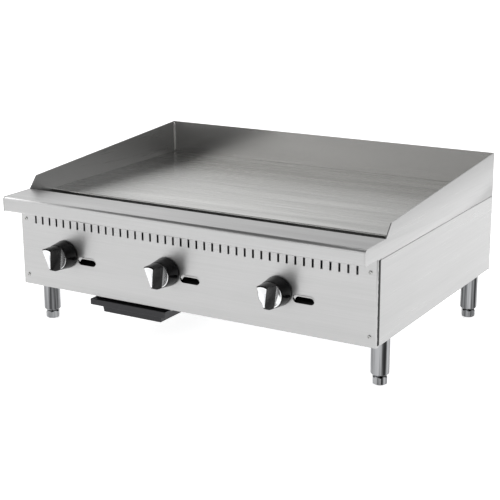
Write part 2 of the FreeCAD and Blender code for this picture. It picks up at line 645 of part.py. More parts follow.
def heat_shield():
    """The sheet between the controls and the burners, open for burners, pilots and gas pipe."""
    body = new_body("heat_shield", y=f"{FRONT} + shield_inset", z=FLOOR_TOP)
    sheet_outline = rectangle(body, "shield_outline", "XY_Plane", f"-{PANEL_INSIDE}", "0",
                              PANEL_INSIDE, "panel_skin")
    pad(body, "shield_sheet", sheet_outline, f"{SEAM} - panel_skin - {FLOOR_TOP}")
    through = "2 * panel_skin"
    mouths = [(f"{middle} - valve_shift", f"{CONTROL} - {FLOOR_TOP}") for middle in STATIONS.values()]
    burner_outline = circles(body, "burner_circles", "XZ_Plane", mouths, "burner_radius + 1")
    pocket(body, "burner_holes", burner_outline, through)
    pipe_outline = circles(body, "pipe_circle", "XZ_Plane",
                           [("manifold_end + pipe_bend", f"{MANIFOLD} - {FLOOR_TOP}")],
                           "pipe_radius + panel_skin")
    pocket(body, "pipe_hole", pipe_outline, through)
    across, rise = "(window_width / 2)", "(window_height / 2)"
    for name, middle in STATIONS.items():
        centre, height = f"({middle} + view_shift)", f"({VIEW} - {FLOOR_TOP})"
        window = rectangle(body, f"{name}_window_outline", "XZ_Plane", f"{centre} - {across}",
                           f"{height} - {rise}", f"{centre} + {across}", f"{height} + {rise}")
        pocket(body, f"{name}_pilot_window", window, through)


def panel_screws(name, face_y, outward):
    """Four pan-head screws through a panel's corners into the posts."""
    screws = []
    for side, sign in SIDES.items():
        for rise in ("screw_low", "screw_high"):
            stem = f"{name}_{side}_{rise}"
            at = (f"{sign} * screw_shift", f"leg_rise + {rise}")
            head_y = f"{face_y} - head_height" if outward < 0 else face_y
            shank_y = face_y if outward < 0 else f"{face_y} - shank_length"
            head = cylinder(f"{stem}_head", "Y", at[0], head_y, at[1], "head_radius", "head_height")
            shank = cylinder(f"{stem}_shank", "Y", at[0], shank_y, at[1], "screw_radius", "shank_length")
            screws.append(fuse(stem, [head, shank]))
    keep(group(f"{name}_group", screws), name)


# ---------------------------------------------------------------- legs


def leg_mounts():
    """Four tapped plates on the base sheet that the legs screw into."""
    plates = []
    for side, sign in SIDES.items():
        for end, centre_y in (("front", f"{FRONT} + leg_inset"), ("rear", f"{BACK} - leg_inset")):
            name = f"{end}_{side}_mount"
            plate = box(f"{name}_plate", f"{sign} * leg_shift - mount_width / 2",
                        f"{centre_y} - mount_length / 2", FLOOR_TOP,
                        "mount_width", "mount_length", "mount_skin")
            hole = cylinder(f"{name}_hole", "Z", f"{sign} * leg_shift", centre_y, f"{FLOOR_TOP} - 1",
                            "stud_radius", "mount_skin + 2")
            plates.append(cut(name, plate, [hole]))
    keep(group("leg_mount_plates_group", plates), "leg_mount_plates")


def leg(side, sign, end, centre_y):
    """A round leg with a stud at its top and a bore in its foot."""
    body = new_body(f"{end}_{side}_leg", x=f"{sign} * leg_shift", y=centre_y)
    foot, bore, bore_end = "(foot_height + leg_gap)", "foot_bore_radius", "foot_height + foot_rod_length + 2"
    corners = ((bore, foot), ("foot_hex / 2", foot), ("leg_radius", f"{foot} + leg_taper"),
               ("leg_radius", "leg_rise"), ("stud_radius", "leg_rise"),
               ("stud_radius", "leg_rise + stud_length"), ("0", "leg_rise + stud_length"),
               ("0", bore_end), (bore, bore_end))
    section = outline(body, f"{end}_{side}_leg_section", "XZ_Plane", corners)
    revolve(body, f"{end}_{side}_leg_turning", section, "Z_Axis")


def foot(side, sign, end, centre_y):
    """A hexagonal foot on a screw, for levelling."""
    name = f"{end}_{side}_foot"
    body = new_body(name, x=f"{sign} * leg_shift", y=centre_y)
    point, flat = "(foot_hex / sqrt(3))", "(foot_hex / 2)"
    corners = ((point, "0"), (f"{point} / 2", flat), (f"-{point} / 2", flat), (f"-{point}", "0"),
               (f"-{point} / 2", f"-{flat}"), (f"{point} / 2", f"-{flat}"))
    pad(body, f"{name}_hexagon", outline(body, f"{name}_outline", "XY_Plane", corners), "foot_height")
    rod = circles(body, f"{name}_rod_circle", "XY_Plane", [("0", "0")], "foot_rod_radius")
    pad(body, f"{name}_rod", rod, "foot_height + foot_rod_length")


# ---------------------------------------------------------------- gas train


def gas_manifold():
    """The pipe that feeds the valves, closed at its left end."""
    start = "(-knob_pitch - valve_shift - manifold_inset - 1)"
    centre_y = f"({FRONT} + manifold_inset)"
    length = f"(manifold_end - {start})"
    outer = cylinder("manifold_wall", "X", start, centre_y, MANIFOLD, "pipe_radius", length)
    inner = cylinder("manifold_bore", "X", f"{start} + pipe_radius - pipe_bore", centre_y, MANIFOLD,
                     "pipe_bore", length)
    holes = []
    for name, middle in STATIONS.items():
        holes.append(cylinder(f"{name}_valve_port", "Z", f"{middle} - valve_shift", centre_y, MANIFOLD,
                              "nipple_radius", "manifold_drop"))
        holes.append(cylinder(f"{name}_pilot_port", "Z", f"{middle} + pilot_shift", centre_y,
                              MANIFOLD, "pilot_port", "manifold_drop"))
    keep(cut("gas_manifold_solid", outer, [inner] + holes), "gas_manifold")


def gas_supply_pipe():
    """The pipe from the manifold's end round a bend to the inlet at the back."""
    start_y = f"({FRONT} + manifold_inset + pipe_bend)"
    length = f"({BACK} + inlet_reach - {start_y})"
    across = "(manifold_end + pipe_bend)"
    parts = []
    for name, radius, end_radius in (("wall", "pipe_radius", "thread_radius"),
                                     ("bore", "pipe_bore", "pipe_bore")):
        corner = bend(f"supply_bend_{name}", "manifold_end", start_y, MANIFOLD, "pipe_bend", radius, 90, -90)
        run = cylinder(f"supply_run_{name}", "Y", across, start_y, MANIFOLD, radius,
                       f"{length} - thread_length")
        end = cylinder(f"supply_end_{name}", "Y", across, f"{BACK} + inlet_reach - thread_length", MANIFOLD,
                       end_radius, "thread_length")
        parts.append(fuse(f"supply_{name}", [corner, run, end]))
    keep(cut("gas_supply_pipe_solid", parts[0], [parts[1]]), "gas_supply_pipe")


def gas_valve(name, middle):
    """A brass valve: a barrel along the stem's axis and a nipple down into the manifold."""
    centre = f"({middle} - valve_shift)"
    barrel = cylinder(f"{name}_valve_barrel", "Y", centre, f"{FRONT} + valve_inset", CONTROL,
                      "valve_radius", "valve_length")
    nipple = cylinder(f"{name}_valve_nipple", "Z", centre, f"{FRONT} + manifold_inset",
                      f"{MANIFOLD} + nipple_start", "nipple_radius", "manifold_drop - nipple_start")
    whole = fuse(f"{name}_valve_block", [barrel, nipple])
    bore = cylinder(f"{name}_valve_bore", "Y", centre, f"{FRONT} + valve_inset - 1", CONTROL,
                    "stem_bore_radius", "valve_bore_depth + 1")
    keep(cut(f"{name}_gas_valve_solid", whole, [bore]), f"{name}_gas_valve")


def valve_stem(name, middle):
    """The shaft that the knob turns, with a flat on its front end."""
    centre = f"({middle} - valve_shift)"
    shaft = cylinder(f"{name}_stem_shaft", "Y", centre, f"{FRONT} - stem_reach", CONTROL,
                     "stem_radius", "stem_length")
    flat = box(f"{name}_stem_flat", f"{centre} - stem_radius", f"{FRONT} - stem_reach - 1",
               f"{CONTROL} + stem_flat_rise", "2 * stem_radius", "stem_flat_length + 1", "stem_radius")
    keep(cut(f"{name}_valve_stem_solid", shaft, [flat]), f"{name}_valve_stem")


def control_knob(name, middle):
    """A round knob: a cone with a flat face, and a grip that is wide at its top and a thin edge below."""
    body = new_body(f"{name}_knob", x=f"{middle} - valve_shift", y=FRONT, z=CONTROL)
    rear, tip, rim = "knob_gap", "knob_reach", "knob_radius"
    corners = (("0", f"-{rear}"), ("0", f"-{tip}"), ("knob_nose_radius", f"-{tip}"), (rim, f"-{rear}"))
    section = outline(body, f"{name}_knob_section", "XY_Plane", corners)
    revolve(body, f"{name}_knob_turning", section, "Y_Axis")
    slope = (("-knob_face", "-knob_nose_radius"), ("-grip_foot_reach", "-grip_foot_drop"),
             (f"-{tip}", "knob_nose_radius"), (f"-{tip}", f"2 * {rim}"), (f"-2 * {tip}", f"2 * {rim}"),
             (f"-2 * {tip}", f"-2 * {rim}"), ("-knob_face", f"-2 * {rim}"))
    pocket(body, f"{name}_knob_slope", outline(body, f"{name}_knob_slope_outline", "YZ_Plane", slope),
           f"4 * {rim}", both_ways=True)
    for side, sign in SIDES.items():
        root, edge = [
            outline(body, f"{name}_{side}_{level}_outline", "XZ_Plane",
                    ((f"{sign} * {upper}", rim), (f"{sign} * 2 * {rim}", rim),
                     (f"{sign} * 2 * {rim}", f"-{rim}"), (f"{sign} * {lower}", f"-{rim}")), lift)
            for level, upper, lower, lift in (("root", "grip_top", "grip_root", "knob_face"),
                                              ("edge", "grip_tip", "(-grip_pinch)", tip))]
        before = body.Tip.Shape.Volume
        scoop = body.newObject("PartDesign::SubtractiveLoft", f"{name}_{side}_scoop")
        scoop.Profile = root
        scoop.Sections = [edge]
        scoop.Ruled = True
        doc.recompute()
        body.Tip = scoop
        assert scoop.Shape.Volume < before - 1, f"{name} {side} scoop cuts nothing"
    bore = circles(body, f"{name}_knob_bore_circle", "XZ_Plane", [("0", "0")], "stem_radius")
    pocket(body, f"{name}_knob_bore", bore, "knob_bore_depth", backwards=True)


def burner(name, middle):
    """A hollow U-shaped burner tube, open at its mouth and closed at its far end."""
    body = new_body(f"{name}_burner", x=middle, y=f"{BACK} - burner_back", z=CONTROL)
    straight = "(body_depth - burner_back)"
    for kind, radius, spare, wall in (("wall", "burner_radius", "0", "0"),
                                      ("bore", "burner_bore", "1", "(burner_radius - burner_bore)")):
        inlet = circles(body, f"{name}_inlet_{kind}", "XZ_Plane", [("-valve_shift", "0")], radius)
        outlet = circles(body, f"{name}_outlet_{kind}", "XZ_Plane", [("valve_shift", "0")], radius)
        turn = circles(body, f"{name}_turn_{kind}", "XZ_Plane", [("valve_shift", "0")], radius)
        hollow = kind == "bore"
        make, bender = (pocket, "Groove") if hollow else (pad, "Revolution")
        make(body, f"{name}_inlet_tube_{kind}", inlet, f"{straight} - burner_mouth + {spare}",
             backwards=hollow)
        make(body, f"{name}_outlet_tube_{kind}", outlet, f"{straight} - burner_start - {wall}",
             backwards=hollow)
        revolve(body, f"{name}_turn_tube_{kind}", turn, "Z_Axis", 180, bender)


def air_shutter(name, middle):
    """A cap that turns on the burner's mouth to open or close its air windows."""
    centre, start = f"({middle} - valve_shift)", f"({FRONT} + burner_mouth - shutter_lap)"
    wall = cylinder(f"{name}_shutter_wall", "Y", centre, start, CONTROL, "burner_radius + shutter_wall",
                    "shutter_length")
    hollow = cylinder(f"{name}_shutter_hollow", "Y", centre, f"{start} + shutter_skin", CONTROL,
                      "burner_radius + slide_gap", "shutter_length")
    through = "shutter_skin + 2"
    hole = cylinder(f"{name}_shutter_hole", "Y", centre, f"{start} - 1", CONTROL, "shutter_hole", through)
    windows = [box(f"{name}_shutter_window_{side}",
                   f"{centre} + {sign} * air_window_shift - air_window_width / 2", f"{start} - 1",
                   f"{CONTROL} - air_window_height / 2", "air_window_width", through, "air_window_height")
               for side, sign in SIDES.items()]
    keep(cut(f"{name}_air_shutter_solid", wall, [hollow, hole] + windows), f"{name}_air_shutter")


def orifice_spuds():
    """The brass nozzles that blow gas from each valve into its burner."""
    spuds = []
    for name, middle in STATIONS.items():
        at = f"({middle} - valve_shift)"
        start = f"({FRONT} + valve_inset + valve_length)"
        collar = cylinder(f"{name}_spud_collar", "Y", at, start, CONTROL, "spud_radius", "spud_length")
        nose = cylinder(f"{name}_spud_nose", "Y", at, f"{start} + spud_length", CONTROL,
                        "jet_radius", "jet_length")
        spuds.append(fuse(f"{name}_spud", [collar, nose]))
    keep(group("orifice_spuds_group", spuds), "orifice_spuds")


def pilots():
    """Pilot valves on the manifold, their bent tubes, and the pilot burners behind the windows."""
    valves, tubes, heads = [], [], []
    high = f"({MANIFOLD} + pilot_block_rise + pilot_block / 2)"
    centre_y, turn_y = f"({FRONT} + manifold_inset)", f"({FRONT} + pilot_turn)"
    for name, middle in STATIONS.items():
        across, pilot_x = f"({middle} + pilot_shift)", f"({middle} + view_shift)"
        stub = cylinder(f"{name}_pilot_stub", "Z", across, centre_y, f"{MANIFOLD} + nipple_start",
                        "pilot_port", "pilot_block_rise - nipple_start")
        block = box(f"{name}_pilot_block", f"{across} - pilot_block / 2", f"{centre_y} - pilot_block / 2",
                    f"{MANIFOLD} + pilot_block_rise", "pilot_block", "pilot_block", "pilot_block")
        valves.append(fuse(f"{name}_pilot_valve", [stub, block]))
        tube, turn = "pilot_pipe", "pilot_bend"
        first_x, last_x = f"({across} - {turn})", f"({pilot_x} + {turn})"
        start_y, end_y = f"({centre_y} + pilot_block / 2)", f"({turn_y} + 2 * {turn})"
        run = [
            cylinder(f"{name}_pilot_run_front", "Y", across, start_y, high, tube, f"{turn_y} - {start_y}"),
            bend(f"{name}_pilot_bend_front", first_x, turn_y, high, turn, tube, 90, 0),
            cylinder(f"{name}_pilot_run_cross", "X", last_x, f"{turn_y} + {turn}", high, tube,
                     f"{first_x} - {last_x}"),
            bend(f"{name}_pilot_bend_rear", last_x, end_y, high, turn, tube, 90, 180),
            cylinder(f"{name}_pilot_run_rear", "Y", pilot_x, end_y, high, tube,
                     f"{FRONT} + support_inset + 1 - pilot_head - {end_y}"),
        ]
        tubes.append(fuse(f"{name}_pilot_tube", run))
        heads.append(cylinder(f"{name}_pilot_head", "Z", pilot_x, f"{FRONT} + support_inset + 1",
                              f"{CONTROL} - burner_radius", "pilot_head", "pilot_head_height"))
    keep(group("pilot_valves_group", valves), "pilot_valves")
    keep(group("pilot_tubes_group", tubes), "pilot_tubes")
    keep(group("pilot_burners_group", heads), "pilot_burners")


def burner_support(name, low_y):
    """A folded strip across the cabinet that carries the burner tubes."""
    start, length, skin = "-knob_pitch - support_reach", "2 * (knob_pitch + support_reach)", "support_skin"
    web = box(f"{name}_web", start, low_y, FLOOR_TOP, length, skin,
              f"{CONTROL} - burner_radius - {FLOOR_TOP}")
    shoe = box(f"{name}_shoe", start, low_y, FLOOR_TOP, length, "support_shoe", skin)
    keep(fuse(f"{name}_angle", [web, shoe]), name)


# ---------------------------------------------------------------- drip tray


def drip_tray():
    """A pan with leaning sides, a flat rim and a turned-down pull lip."""
    body = new_body("drip_tray", x="-tray_centre", y=f"{FRONT} + tray_setback", z=TRAY_TOP)
    half, skin = "(tray_width / 2)", "tray_skin"
    rim = f"({half} + rim_width)"

    def section(name, inset, foot, lift):
        """A cross-section of the pan, set in by inset."""
        top_x, foot_x = f"({half} - {inset})", f"({half} - tray_taper - {inset})"
        corners = ((f"-{foot_x}", foot), (foot_x, foot), (top_x, "0"), (f"-{top_x}", "0"))
        return outline(body, name, "XZ_Plane", corners, lift)

    pad(body, "tray_block", section("tray_outside", "0", "-tray_height", "0"), "tray_length", backwards=True)
    rim_outline = rectangle(body, "tray_rim_outline", "XY_Plane", f"-{rim}", "-lip_reach", rim, "tray_length")
    pad(body, "tray_rim", rim_outline, skin, backwards=True)
    lip_outline = rectangle(body, "tray_lip_outline", "XY_Plane", f"-{rim}", "-lip_reach", rim,
                            f"{skin} - lip_reach")
    pad(body, "tray_lip", lip_outline, "lip_height", backwards=True)
    hollow = section("tray_inside", skin, f"{skin} - tray_height", f"-{skin}")
    pocket(body, "tray_hollow", hollow, f"tray_length - 2 * {skin}")


def tray_rail(side, sign):
    """A Z-section runner under the base that holds one side of the tray's rim."""
    body = new_body(f"{side}_tray_rail", x="-tray_centre", y=f"{FRONT} + rail_setback",
                    z="leg_rise")
    web = f"({sign} * (tray_width / 2 + rim_width + 1))"
    lip = f"({sign} * (tray_width / 2 + rail_shelf))"
    ear = f"({sign} * (tray_width / 2 + rim_width + rail_ear))"
    skin, out = "panel_skin", f"({sign} * panel_skin)"
    shelf = "(-tray_gap - tray_skin - slide_gap)"
    corners = ((web, f"-{skin}"), (web, shelf), (lip, shelf), (lip, f"{shelf} - {skin}"),
               (f"{web} + {out}", f"{shelf} - {skin}"), (f"{web} + {out}", f"-{skin}"), (ear, f"-{skin}"),
               (ear, "panel_skin"), (web, "panel_skin"))
    pad(body, f"{side}_rail_sheet", outline(body, f"{side}_rail_section", "XZ_Plane", corners),
        "tray_length", backwards=True)


def write_pieces():
    """Check every object, then write each sub-part to its own file."""
    doc.recompute()
    failed = [item.Label for item in doc.Objects if {"Invalid", "Error"} & set(item.State)]
    assert not failed, f"failed objects: {failed}"
    for item in PIECES:
        shape = item.Shape
        assert not shape.isNull() and shape.isValid() and shape.Solids, f"{item.Label} has no sound solid"
    os.makedirs("parts", exist_ok=True)
    for item in PIECES:
        item.Shape.exportStep(f"parts/{item.Label}.step")
        print(f"{item.Label}: {len(item.Shape.Solids)} solid(s), {item.Shape.Volume / 1000:.1f} cm3")
    print(f"{len(PIECES)} sub-parts")


griddle_plate()
rear_splash_guard()
front_ledge()
grease_trough()
grease_chute()
front_panel()
rear_panel()
bottom_panel()
heat_shield()
panel_screws("front_panel_screws", FRONT, -1)
panel_screws("rear_panel_screws", BACK, 1)
leg_mounts()
for side, sign in SIDES.items():
    side_splash_guard(side, sign)
    side_panel(side, sign)
    tray_rail(side, sign)
    for end, centre_y in (("front", f"{FRONT} + leg_inset"), ("rear", f"{BACK} - leg_inset")):
        corner_post(side, sign, end)
        leg(side, sign, end, centre_y)
        foot(side, sign, end, centre_y)
drip_tray()
gas_manifold()
gas_supply_pipe()
for name, middle in STATIONS.items():
    gas_valve(name, middle)
    valve_stem(name, middle)
    control_knob(name, middle)
    burner(name, middle)
    air_shutter(name, middle)
orifice_spuds()
pilots()
burner_support("front_burner_support", f"{FRONT} + support_inset")
burner_support("rear_burner_support", f"{BACK} - support_back")
write_pieces()
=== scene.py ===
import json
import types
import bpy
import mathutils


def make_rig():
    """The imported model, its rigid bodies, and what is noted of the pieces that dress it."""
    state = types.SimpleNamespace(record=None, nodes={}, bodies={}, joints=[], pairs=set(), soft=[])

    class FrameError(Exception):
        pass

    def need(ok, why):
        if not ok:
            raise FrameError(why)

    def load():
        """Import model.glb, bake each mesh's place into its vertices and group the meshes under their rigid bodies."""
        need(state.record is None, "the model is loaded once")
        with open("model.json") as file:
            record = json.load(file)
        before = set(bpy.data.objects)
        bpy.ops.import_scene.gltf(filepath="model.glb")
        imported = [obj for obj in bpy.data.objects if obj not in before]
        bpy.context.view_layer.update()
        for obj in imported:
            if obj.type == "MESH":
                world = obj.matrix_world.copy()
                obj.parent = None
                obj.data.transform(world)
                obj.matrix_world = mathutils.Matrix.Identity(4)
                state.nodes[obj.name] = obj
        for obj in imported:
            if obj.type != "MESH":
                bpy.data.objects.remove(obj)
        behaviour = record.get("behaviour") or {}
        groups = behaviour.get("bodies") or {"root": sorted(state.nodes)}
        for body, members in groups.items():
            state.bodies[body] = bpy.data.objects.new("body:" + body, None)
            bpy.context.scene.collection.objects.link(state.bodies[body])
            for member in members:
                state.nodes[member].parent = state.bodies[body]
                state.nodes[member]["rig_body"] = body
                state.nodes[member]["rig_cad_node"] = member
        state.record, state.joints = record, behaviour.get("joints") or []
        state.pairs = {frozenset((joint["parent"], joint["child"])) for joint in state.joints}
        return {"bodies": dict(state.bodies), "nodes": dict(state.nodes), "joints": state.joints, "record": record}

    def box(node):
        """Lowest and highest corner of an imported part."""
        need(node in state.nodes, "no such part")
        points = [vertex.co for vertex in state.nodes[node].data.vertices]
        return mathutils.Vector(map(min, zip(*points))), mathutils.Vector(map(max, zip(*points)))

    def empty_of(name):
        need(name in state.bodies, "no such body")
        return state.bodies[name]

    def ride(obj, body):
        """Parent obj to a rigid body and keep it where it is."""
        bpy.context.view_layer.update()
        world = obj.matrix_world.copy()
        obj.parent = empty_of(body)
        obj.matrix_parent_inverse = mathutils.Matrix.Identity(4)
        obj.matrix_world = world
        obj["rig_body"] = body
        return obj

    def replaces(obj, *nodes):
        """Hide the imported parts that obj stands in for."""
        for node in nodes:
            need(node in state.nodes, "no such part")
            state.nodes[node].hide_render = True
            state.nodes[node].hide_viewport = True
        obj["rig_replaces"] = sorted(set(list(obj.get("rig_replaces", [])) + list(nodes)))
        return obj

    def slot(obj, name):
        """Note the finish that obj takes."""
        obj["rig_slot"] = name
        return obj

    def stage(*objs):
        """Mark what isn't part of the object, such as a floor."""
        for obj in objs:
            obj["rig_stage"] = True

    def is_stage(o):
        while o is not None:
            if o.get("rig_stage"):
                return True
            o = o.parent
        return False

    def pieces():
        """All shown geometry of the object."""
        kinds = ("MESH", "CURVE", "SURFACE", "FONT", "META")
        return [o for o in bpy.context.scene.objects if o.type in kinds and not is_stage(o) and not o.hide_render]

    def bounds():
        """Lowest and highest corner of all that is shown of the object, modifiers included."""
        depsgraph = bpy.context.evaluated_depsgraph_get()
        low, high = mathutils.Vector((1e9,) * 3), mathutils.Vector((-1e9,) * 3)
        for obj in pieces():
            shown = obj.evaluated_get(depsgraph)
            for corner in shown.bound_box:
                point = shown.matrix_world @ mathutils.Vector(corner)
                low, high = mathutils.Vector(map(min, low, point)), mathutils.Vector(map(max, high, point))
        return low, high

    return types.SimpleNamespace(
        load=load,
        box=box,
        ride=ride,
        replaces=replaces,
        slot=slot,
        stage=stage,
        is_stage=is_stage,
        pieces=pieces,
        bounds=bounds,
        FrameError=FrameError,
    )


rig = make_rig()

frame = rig.load()

# A counter-top gas griddle: brushed stainless sheet round a ground steel cooking plate, three black
# and chrome knobs, polished legs and a dark drip tray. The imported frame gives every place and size;
# this script dresses it, rounds its edges and puts finer pieces where the frame's are plain.

import json
import logging
import math
from dataclasses import dataclass
from enum import Enum

import bmesh
import bpy
import numpy as np
from mathutils import Matrix, Vector

MM = 0.001
CAD_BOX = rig.bounds()
LOG = logging.getLogger("griddle")
STATIONS = ("left", "middle", "right")
SIDES = ("left", "right")
CORNERS = tuple(f"{end}_{side}" for end in ("front", "rear") for side in SIDES)


# ---------------------------------------------------------------- nodes and colours


def linear(code: str) -> tuple[float, float, float, float]:
    """Turns an sRGB hex colour into linear red, green, blue and an alpha of 1.

    Args:
        code: six hex digits, such as "c8c8c6".

    Returns:
        The four linear values.
    """
    parts = np.array([int(code[step:step + 2], 16) for step in (0, 2, 4)]) / 255
    values = np.where(parts <= 0.04045, parts / 12.92, ((parts + 0.055) / 1.055) ** 2.4)
    return (*map(float, values), 1.0)


def add(tree: bpy.types.NodeTree, kind: str, settings: dict | None = None,
        links: dict | None = None) -> bpy.types.Node:
    """Adds one node with its settings and its links.

    Args:
        tree: the node tree to add to.
        kind: the node's type name.
        settings: values for the node's properties, and for its inputs by name or number.
        links: output sockets for its inputs, by name or number.

    Returns:
        The new node.
    """
    node = tree.nodes.new(kind)
    for key, value in (settings or {}).items():
        if isinstance(key, str) and hasattr(node, key):
            setattr(node, key, value)
        else:
            node.inputs[key].default_value = value
    for key, socket in (links or {}).items():
        tree.links.new(socket, node.inputs[key])
    return node


class Grain(Enum):
    """Which way a sheet was brushed, as the axis that its strokes run along."""

    X = (1, 0, 0)
    Y = (0, 1, 0)
    Z = (0, 0, 1)

    def scale(self, stroke: float, line: float) -> tuple[float, ...]:
        """Pattern scale per metre for strokes of this length and width, in millimetres."""
        return tuple(1 / (MM * (stroke if along else line)) for along in self.value)


@dataclass(frozen=True)
class Finish:
    """A surface finish: what all of them share.

    Attributes:
        name: the material's name.
        colour: sRGB hex of the clean surface.
        worn: sRGB hex of the rubbed edges.
        metallic: 1 for bare metal, 0 for enamel and paint.
        roughness: middle roughness.
        spread: how far the pattern moves the roughness up and down.
        tint: how far the pattern darkens the colour, from 0 to 1.
        relief: depth of the pattern's bump, in millimetres.
        edge: how far from an edge the rubbed look reaches, in millimetres.
    """

    name: str
    colour: str
    worn: str
    metallic: float = 1.0
    roughness: float = 0.3
    spread: float = 0.05
    tint: float = 0.1
    relief: float = 0.01
    edge: float = 0.9

    def pattern(self, tree: bpy.types.NodeTree, place: bpy.types.NodeSocket) -> bpy.types.NodeSocket:
        """Adds the nodes of the finish's own pattern and returns their 0 to 1 output."""
        noise = add(tree, "ShaderNodeTexNoise", {"Scale": 60.0, "Detail": 4.0}, {"Vector": place})
        return noise.outputs["Fac"]

    def dress(self, tree: bpy.types.NodeTree, shader: bpy.types.Node) -> None:
        """Sets the shader's own sockets that only this finish needs."""

    def material(self) -> bpy.types.Material:
        """Builds the material once and returns it.

        Returns:
            A node material: the pattern tints the colour, moves the roughness and raises the bump,
            and a noisy mask of the rounded edges mixes in the worn colour.
        """
        found = bpy.data.materials.get(self.name)
        if found:
            return found
        made = bpy.data.materials.new(self.name)
        made.use_nodes = True
        tree = made.node_tree
        tree.nodes.clear()
        output = add(tree, "ShaderNodeOutputMaterial")
        shader = add(tree, "ShaderNodeBsdfPrincipled", {"Metallic": self.metallic})
        tree.links.new(shader.outputs["BSDF"], output.inputs["Surface"])
        place = add(tree, "ShaderNodeTexCoord").outputs["Object"]
        level = self.pattern(tree, place)
        dark = tuple(part * (1 - self.tint) for part in linear(self.colour)[:3]) + (1.0,)
        clean = add(tree, "ShaderNodeMix", {"data_type": "RGBA", 6: dark, 7: linear(self.colour)}, {0: level})
        rough = add(tree, "ShaderNodeMapRange", {"To Min": self.roughness + self.spread,
                                                 "To Max": self.roughness - self.spread}, {"Value": level})
        rim = self.rim(tree, place)
        colour = add(tree, "ShaderNodeMix", {"data_type": "RGBA", 7: linear(self.worn)},
                     {0: rim, 6: clean.outputs[2]})
        smooth = add(tree, "ShaderNodeMix", {3: self.roughness * 0.75}, {0: rim, 2: rough.outputs["Result"]})
        bump = add(tree, "ShaderNodeBump", {"Strength": 0.5, "Distance": self.relief * MM},
                   {"Height": level})
        for name, socket in (("Base Color", colour.outputs[2]), ("Roughness", smooth.outputs[0]),
                             ("Normal", bump.outputs["Normal"])):
            tree.links.new(socket, shader.inputs[name])
        self.dress(tree, shader)
        return made

    def rim(self, tree: bpy.types.NodeTree, place: bpy.types.NodeSocket) -> bpy.types.NodeSocket:
        """Adds the worn-edge mask.

        Args:
            tree: the material's tree.
            place: object coordinates.

        Returns:
            A socket that is 0 on flat ground and up to 1 where the surface turns within the
            finish's edge width, broken up by noise.
        """
        soft = add(tree, "ShaderNodeBevel", {"samples": 4, "Radius": self.edge * MM})
        flat = add(tree, "ShaderNodeNewGeometry")
        match = add(tree, "ShaderNodeVectorMath", {"operation": "DOT_PRODUCT"},
                    {0: soft.outputs["Normal"], 1: flat.outputs["Normal"]})
        turned = add(tree, "ShaderNodeMapRange", {"From Min": 0.995, "From Max": 0.8},
                     {"Value": match.outputs["Value"]})
        patchy = add(tree, "ShaderNodeTexNoise", {"Scale": 90.0, "Detail": 3.0}, {"Vector": place})
        worn = add(tree, "ShaderNodeMath", {"operation": "MULTIPLY"},
                   {0: turned.outputs["Result"], 1: patchy.outputs["Fac"]})
        return worn.outputs["Value"]


@dataclass(frozen=True)
class Brushed(Finish):
    """Sheet metal drawn under an abrasive belt.

    The strokes run one way, so highlights spread across them. Real strokes are about 0.05 mm wide;
    they are drawn about a millimetre wide, so that they still show in the render.

    Attributes:
        grain: the axis that the strokes run along.
        stroke: length of a stroke, in millimetres.
        line: width of a stroke, in millimetres.
        stretch: how far highlights spread across the strokes, from 0 to 1.
        softness: how gradually one stroke passes into the next, from 0 to 0.5.
        drift: length and width of the slow changes in the belt's pressure, in millimetres.
    """

    grain: Grain = Grain.X
    stroke: float = 160.0
    line: float = 1.1
    stretch: float = 0.55
    softness: float = 0.2
    drift: tuple[float, float] = (600.0, 35.0)

    def pattern(self, tree: bpy.types.NodeTree, place: bpy.types.NodeSocket) -> bpy.types.NodeSocket:
        """Adds fine strokes over a slow drift of the belt's pressure.

        Args:
            tree: the material's tree.
            place: object coordinates.

        Returns:
            A socket from 0 in the darkest strokes to 1 in the palest.
        """
        strokes = add(tree, "ShaderNodeMapping", {"Scale": self.grain.scale(self.stroke, self.line)},
                      {"Vector": place})
        fine = add(tree, "ShaderNodeTexNoise", {"Scale": 1.0, "Detail": 3.0, "Roughness": 0.6},
                   {"Vector": strokes.outputs["Vector"]})
        slow = add(tree, "ShaderNodeMapping", {"Scale": self.grain.scale(*self.drift)}, {"Vector": place})
        broad = add(tree, "ShaderNodeTexNoise", {"Scale": 1.0, "Detail": 2.0},
                    {"Vector": slow.outputs["Vector"]})
        both = add(tree, "ShaderNodeMix", {0: 0.35}, {2: fine.outputs["Fac"], 3: broad.outputs["Fac"]})
        span = {"From Min": 0.5 - self.softness, "From Max": 0.5 + self.softness}
        crisp = add(tree, "ShaderNodeMapRange", span, {"Value": both.outputs[0]})
        return crisp.outputs["Result"]

    def dress(self, tree: bpy.types.NodeTree, shader: bpy.types.Node) -> None:
        """Spreads the highlight across the strokes.

        Args:
            tree: the material's tree.
            shader: its Principled shader.
        """
        shader.inputs["Anisotropic"].default_value = self.stretch
        across = {Grain.X: (0.0, 1.0, 1.0), Grain.Y: (1.0, 0.0, 1.0), Grain.Z: (1.0, 1.0, 0.0)}[self.grain]
        turn = add(tree, "ShaderNodeCombineXYZ", dict(enumerate(across)))
        tree.links.new(turn.outputs["Vector"], shader.inputs["Tangent"])


@dataclass(frozen=True)
class Spangled(Finish):
    """Hot-dip coated steel, whose zinc froze in flat crystals a few millimetres across.

    Attributes:
        crystal: width of a crystal, in millimetres.
    """

    crystal: float = 9.0

    def pattern(self, tree: bpy.types.NodeTree, place: bpy.types.NodeSocket) -> bpy.types.NodeSocket:
        """Adds crystals, each with a grey of its own.

        Args:
            tree: the material's tree.
            place: object coordinates.

        Returns:
            A socket with one value for each crystal.
        """
        cells = add(tree, "ShaderNodeTexVoronoi", {"Scale": 1 / (self.crystal * MM)}, {"Vector": place})
        split = add(tree, "ShaderNodeSeparateColor", {}, {"Color": cells.outputs["Color"]})
        return split.outputs["Red"]


